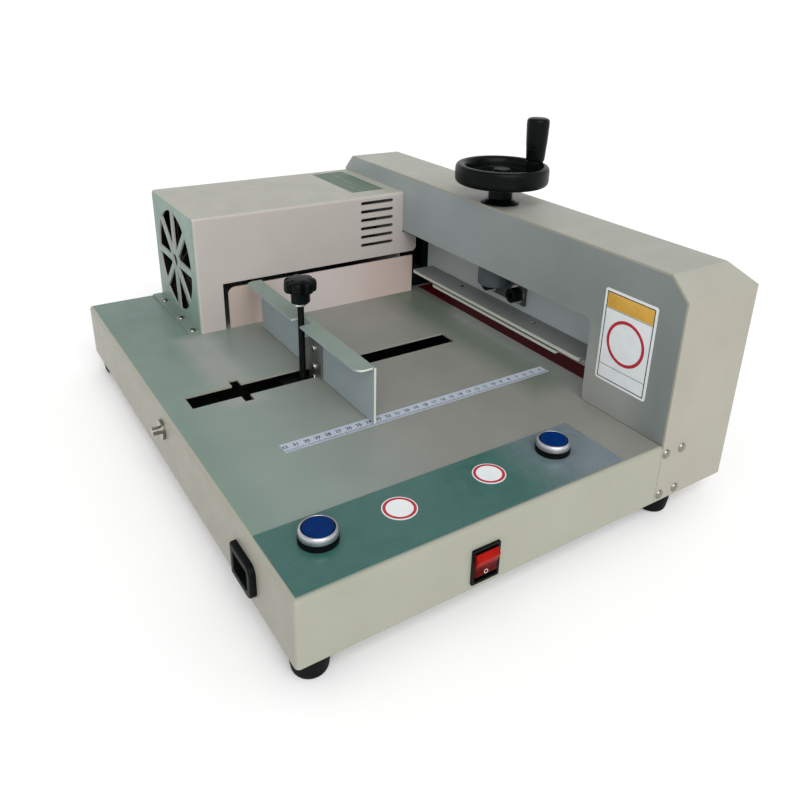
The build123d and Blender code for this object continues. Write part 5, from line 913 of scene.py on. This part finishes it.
# %% Numbers of the rule
FIRST_NUMBER, LAST_NUMBER = 4, 32
DIGIT_SIZE, DIGIT_WEIGHT, DIGIT_Y = 5.658 * MM, 0.1 * MM, -0.1136
glyph = bpy.data.curves.new("digits", "FONT")
glyph.size, glyph.extrude, glyph.offset = DIGIT_SIZE, INK_HIGH / 2, DIGIT_WEIGHT
glyph.align_x, glyph.align_y = "CENTER", "CENTER"
writer = bpy.data.objects.new("digits", glyph)
bpy.context.scene.collection.objects.link(writer)
points, faces, count = [], [], 0
for number in range(FIRST_NUMBER, LAST_NUMBER + 1):
    glyph.body = str(number)
    bpy.context.view_layer.update()
    drawn = bpy.data.meshes.new_from_object(writer.evaluated_get(bpy.context.evaluated_depsgraph_get()))
    place = np.empty(len(drawn.vertices) * 3)
    drawn.vertices.foreach_get("co", place)
    points.append(place.reshape(-1, 3) + [ZERO_X - number * 10 * MM, DIGIT_Y, high[2] + INK_HIGH / 2])
    faces += [[v + count for v in face.vertices] for face in drawn.polygons]
    count += len(drawn.vertices)
    bpy.data.meshes.remove(drawn)
bpy.data.objects.remove(writer)
number_mesh = bpy.data.meshes.new("rule_numbers")
number_mesh.from_pydata(np.vstack(points).tolist(), [], faces)
number_mesh.materials.append(INK_BLACK)
numbers = bpy.data.objects.new("rule_numbers", number_mesh)
bpy.context.scene.collection.objects.link(numbers)
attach(numbers, "machine")
print("rule: numbers", FIRST_NUMBER, "to", LAST_NUMBER, "in", len(faces), "faces")

# %% [markdown]
# The mains switch is a clear red rocker. Its lower half is pressed in. The outline of its side is
# softened and carried across, then tilted about its pivot, and the mark O rides on it.

# %% Rocker
ROCKER_SIDE = [(-0.8, 12.9), (-5.0, 8.5), (-3.7, 4.0), (-3.4, 0), (-3.7, -4.0), (-5.0, -8.5), (-0.8, -12.9),
               (3.6, -5.0), (3.6, 5.0)]
ROCKER_HALF, ROCKER_TILT = 10.4, radians(12)
ROCKER_EDGE, SIDE_EDGE, PIVOT_DEEP = 1.2, 0.6, 2.66 * MM
frame_low, frame_high = box_of("rocker_frame")
frame_middle = (frame_low + frame_high) / 2
pivot = np.array([frame_middle[0], frame_low[1] + PIVOT_DEEP, frame_middle[2]])
side = softened([*ROCKER_SIDE, *ROCKER_SIDE[:2]], ROCKER_EDGE)[1:-1]


def on_rocker(grid):
    """Turns (y, z, x) in the rocker's own millimetres about its pivot, into place in metres."""
    y, z = grid[..., 0], grid[..., 1]
    turned_y = y * cos(ROCKER_TILT) - z * sin(ROCKER_TILT)
    turned_z = y * sin(ROCKER_TILT) + z * cos(ROCKER_TILT)
    return np.stack([grid[..., 2], turned_y, turned_z], -1) * MM + pivot


def on_face(grid, middle, slope):
    """Lays a flat (x, up, out) print on a face of the rocker with that middle and slope."""
    x, up, out = grid[..., 0], grid[..., 1], grid[..., 2]
    return on_rocker(np.stack([middle[0] + up * sin(slope) - out * cos(slope),
                               middle[1] + up * cos(slope) + out * sin(slope), x], -1))


surface("rocker", [on_rocker(slab(side, -ROCKER_HALF, ROCKER_HALF, SIDE_EDGE))], RED, "rocker",
        ["rocker_paddle"])
FACE_MIDDLE, FACE_SLOPE = (-4.35, -6.0), radians(16.1)
MARK_OUT, MARK_IN, MARK_HIGH, MARK_STEPS = 1.8, 1.4, 0.08, 40
mark_o = band(circle((0, 0), MARK_OUT, MARK_STEPS), circle((0, 0), MARK_IN, MARK_STEPS), 0.0, MARK_HIGH)
surface("rocker_mark", [on_face(mark_o, FACE_MIDDLE, FACE_SLOPE)], INK_WHITE, "rocker")

# %% [markdown]
# The machine stands on a pale matt floor that reaches far past the picture, so that no edge of it
# shows behind the bridge.

# %% Floor
FLOOR_HALF = 60.0
floor_mesh = bpy.data.meshes.new("floor")
floor_mesh.from_pydata([(x * FLOOR_HALF, y * FLOOR_HALF, 0) for x, y in ((-1, -1), (1, -1), (1, 1), (-1, 1))],
                       [], [(0, 1, 2, 3)])
floor = bpy.data.objects.new("floor", floor_mesh)
bpy.context.scene.collection.objects.link(floor)
floor_mesh.materials.append(finished(blank("floor_paper"), Base_Color=colour("#FDFDFD"), Roughness=0.9))
print("floor:", 2 * FLOOR_HALF, "m wide")

# %% [markdown]
# One wide soft light and a pale room. A sun lamp with a disc 50 degrees wide acts as a very large
# soft box far away, so the floor is lit evenly to the horizon. The room is white near the horizon
# and a little darker overhead, which keeps the black pieces black.

# %% Light
SKY_LOW, SKY_HIGH = 0.25, 0.6
world = bpy.data.worlds.new("studio")
bpy.context.scene.world = world
world.use_nodes = True
world.node_tree.nodes.clear()
upwards = node(world, "ShaderNodeTexCoord", "Generated")
upwards = node(world, "ShaderNodeSeparateXYZ", "Z", Vector=upwards)
upwards = node(world, "ShaderNodeMapRange", "Result", Value=upwards, From_Min=SKY_LOW, From_Max=SKY_HIGH)
grey = node(world, "ShaderNodeMix", 2, {"data_type": "RGBA"}, in_0=upwards, in_6=colour("#FFFFFF"),
            in_7=colour("#C8C8C8"))
node(world, "ShaderNodeOutputWorld", Surface=node(world, "ShaderNodeBackground", Color=grey))

SUN_HEIGHT, SUN_LEFT, SUN_POWER, SUN_SOFT = radians(42), radians(18), 2.05, radians(50)
key = bpy.data.lights.new("window_light", "SUN")
key.energy, key.angle = SUN_POWER, SUN_SOFT
lamp = bpy.data.objects.new("window_light", key)
bpy.context.scene.collection.objects.link(lamp)
toward_lamp = Vector((-sin(SUN_LEFT) * cos(SUN_HEIGHT), -cos(SUN_LEFT) * cos(SUN_HEIGHT), sin(SUN_HEIGHT)))
lamp.rotation_euler = toward_lamp.to_track_quat("Z", "Y").to_euler()
bpy.context.scene.view_settings.view_transform = "Standard"
print("light: one wide soft light from the front and a pale room")
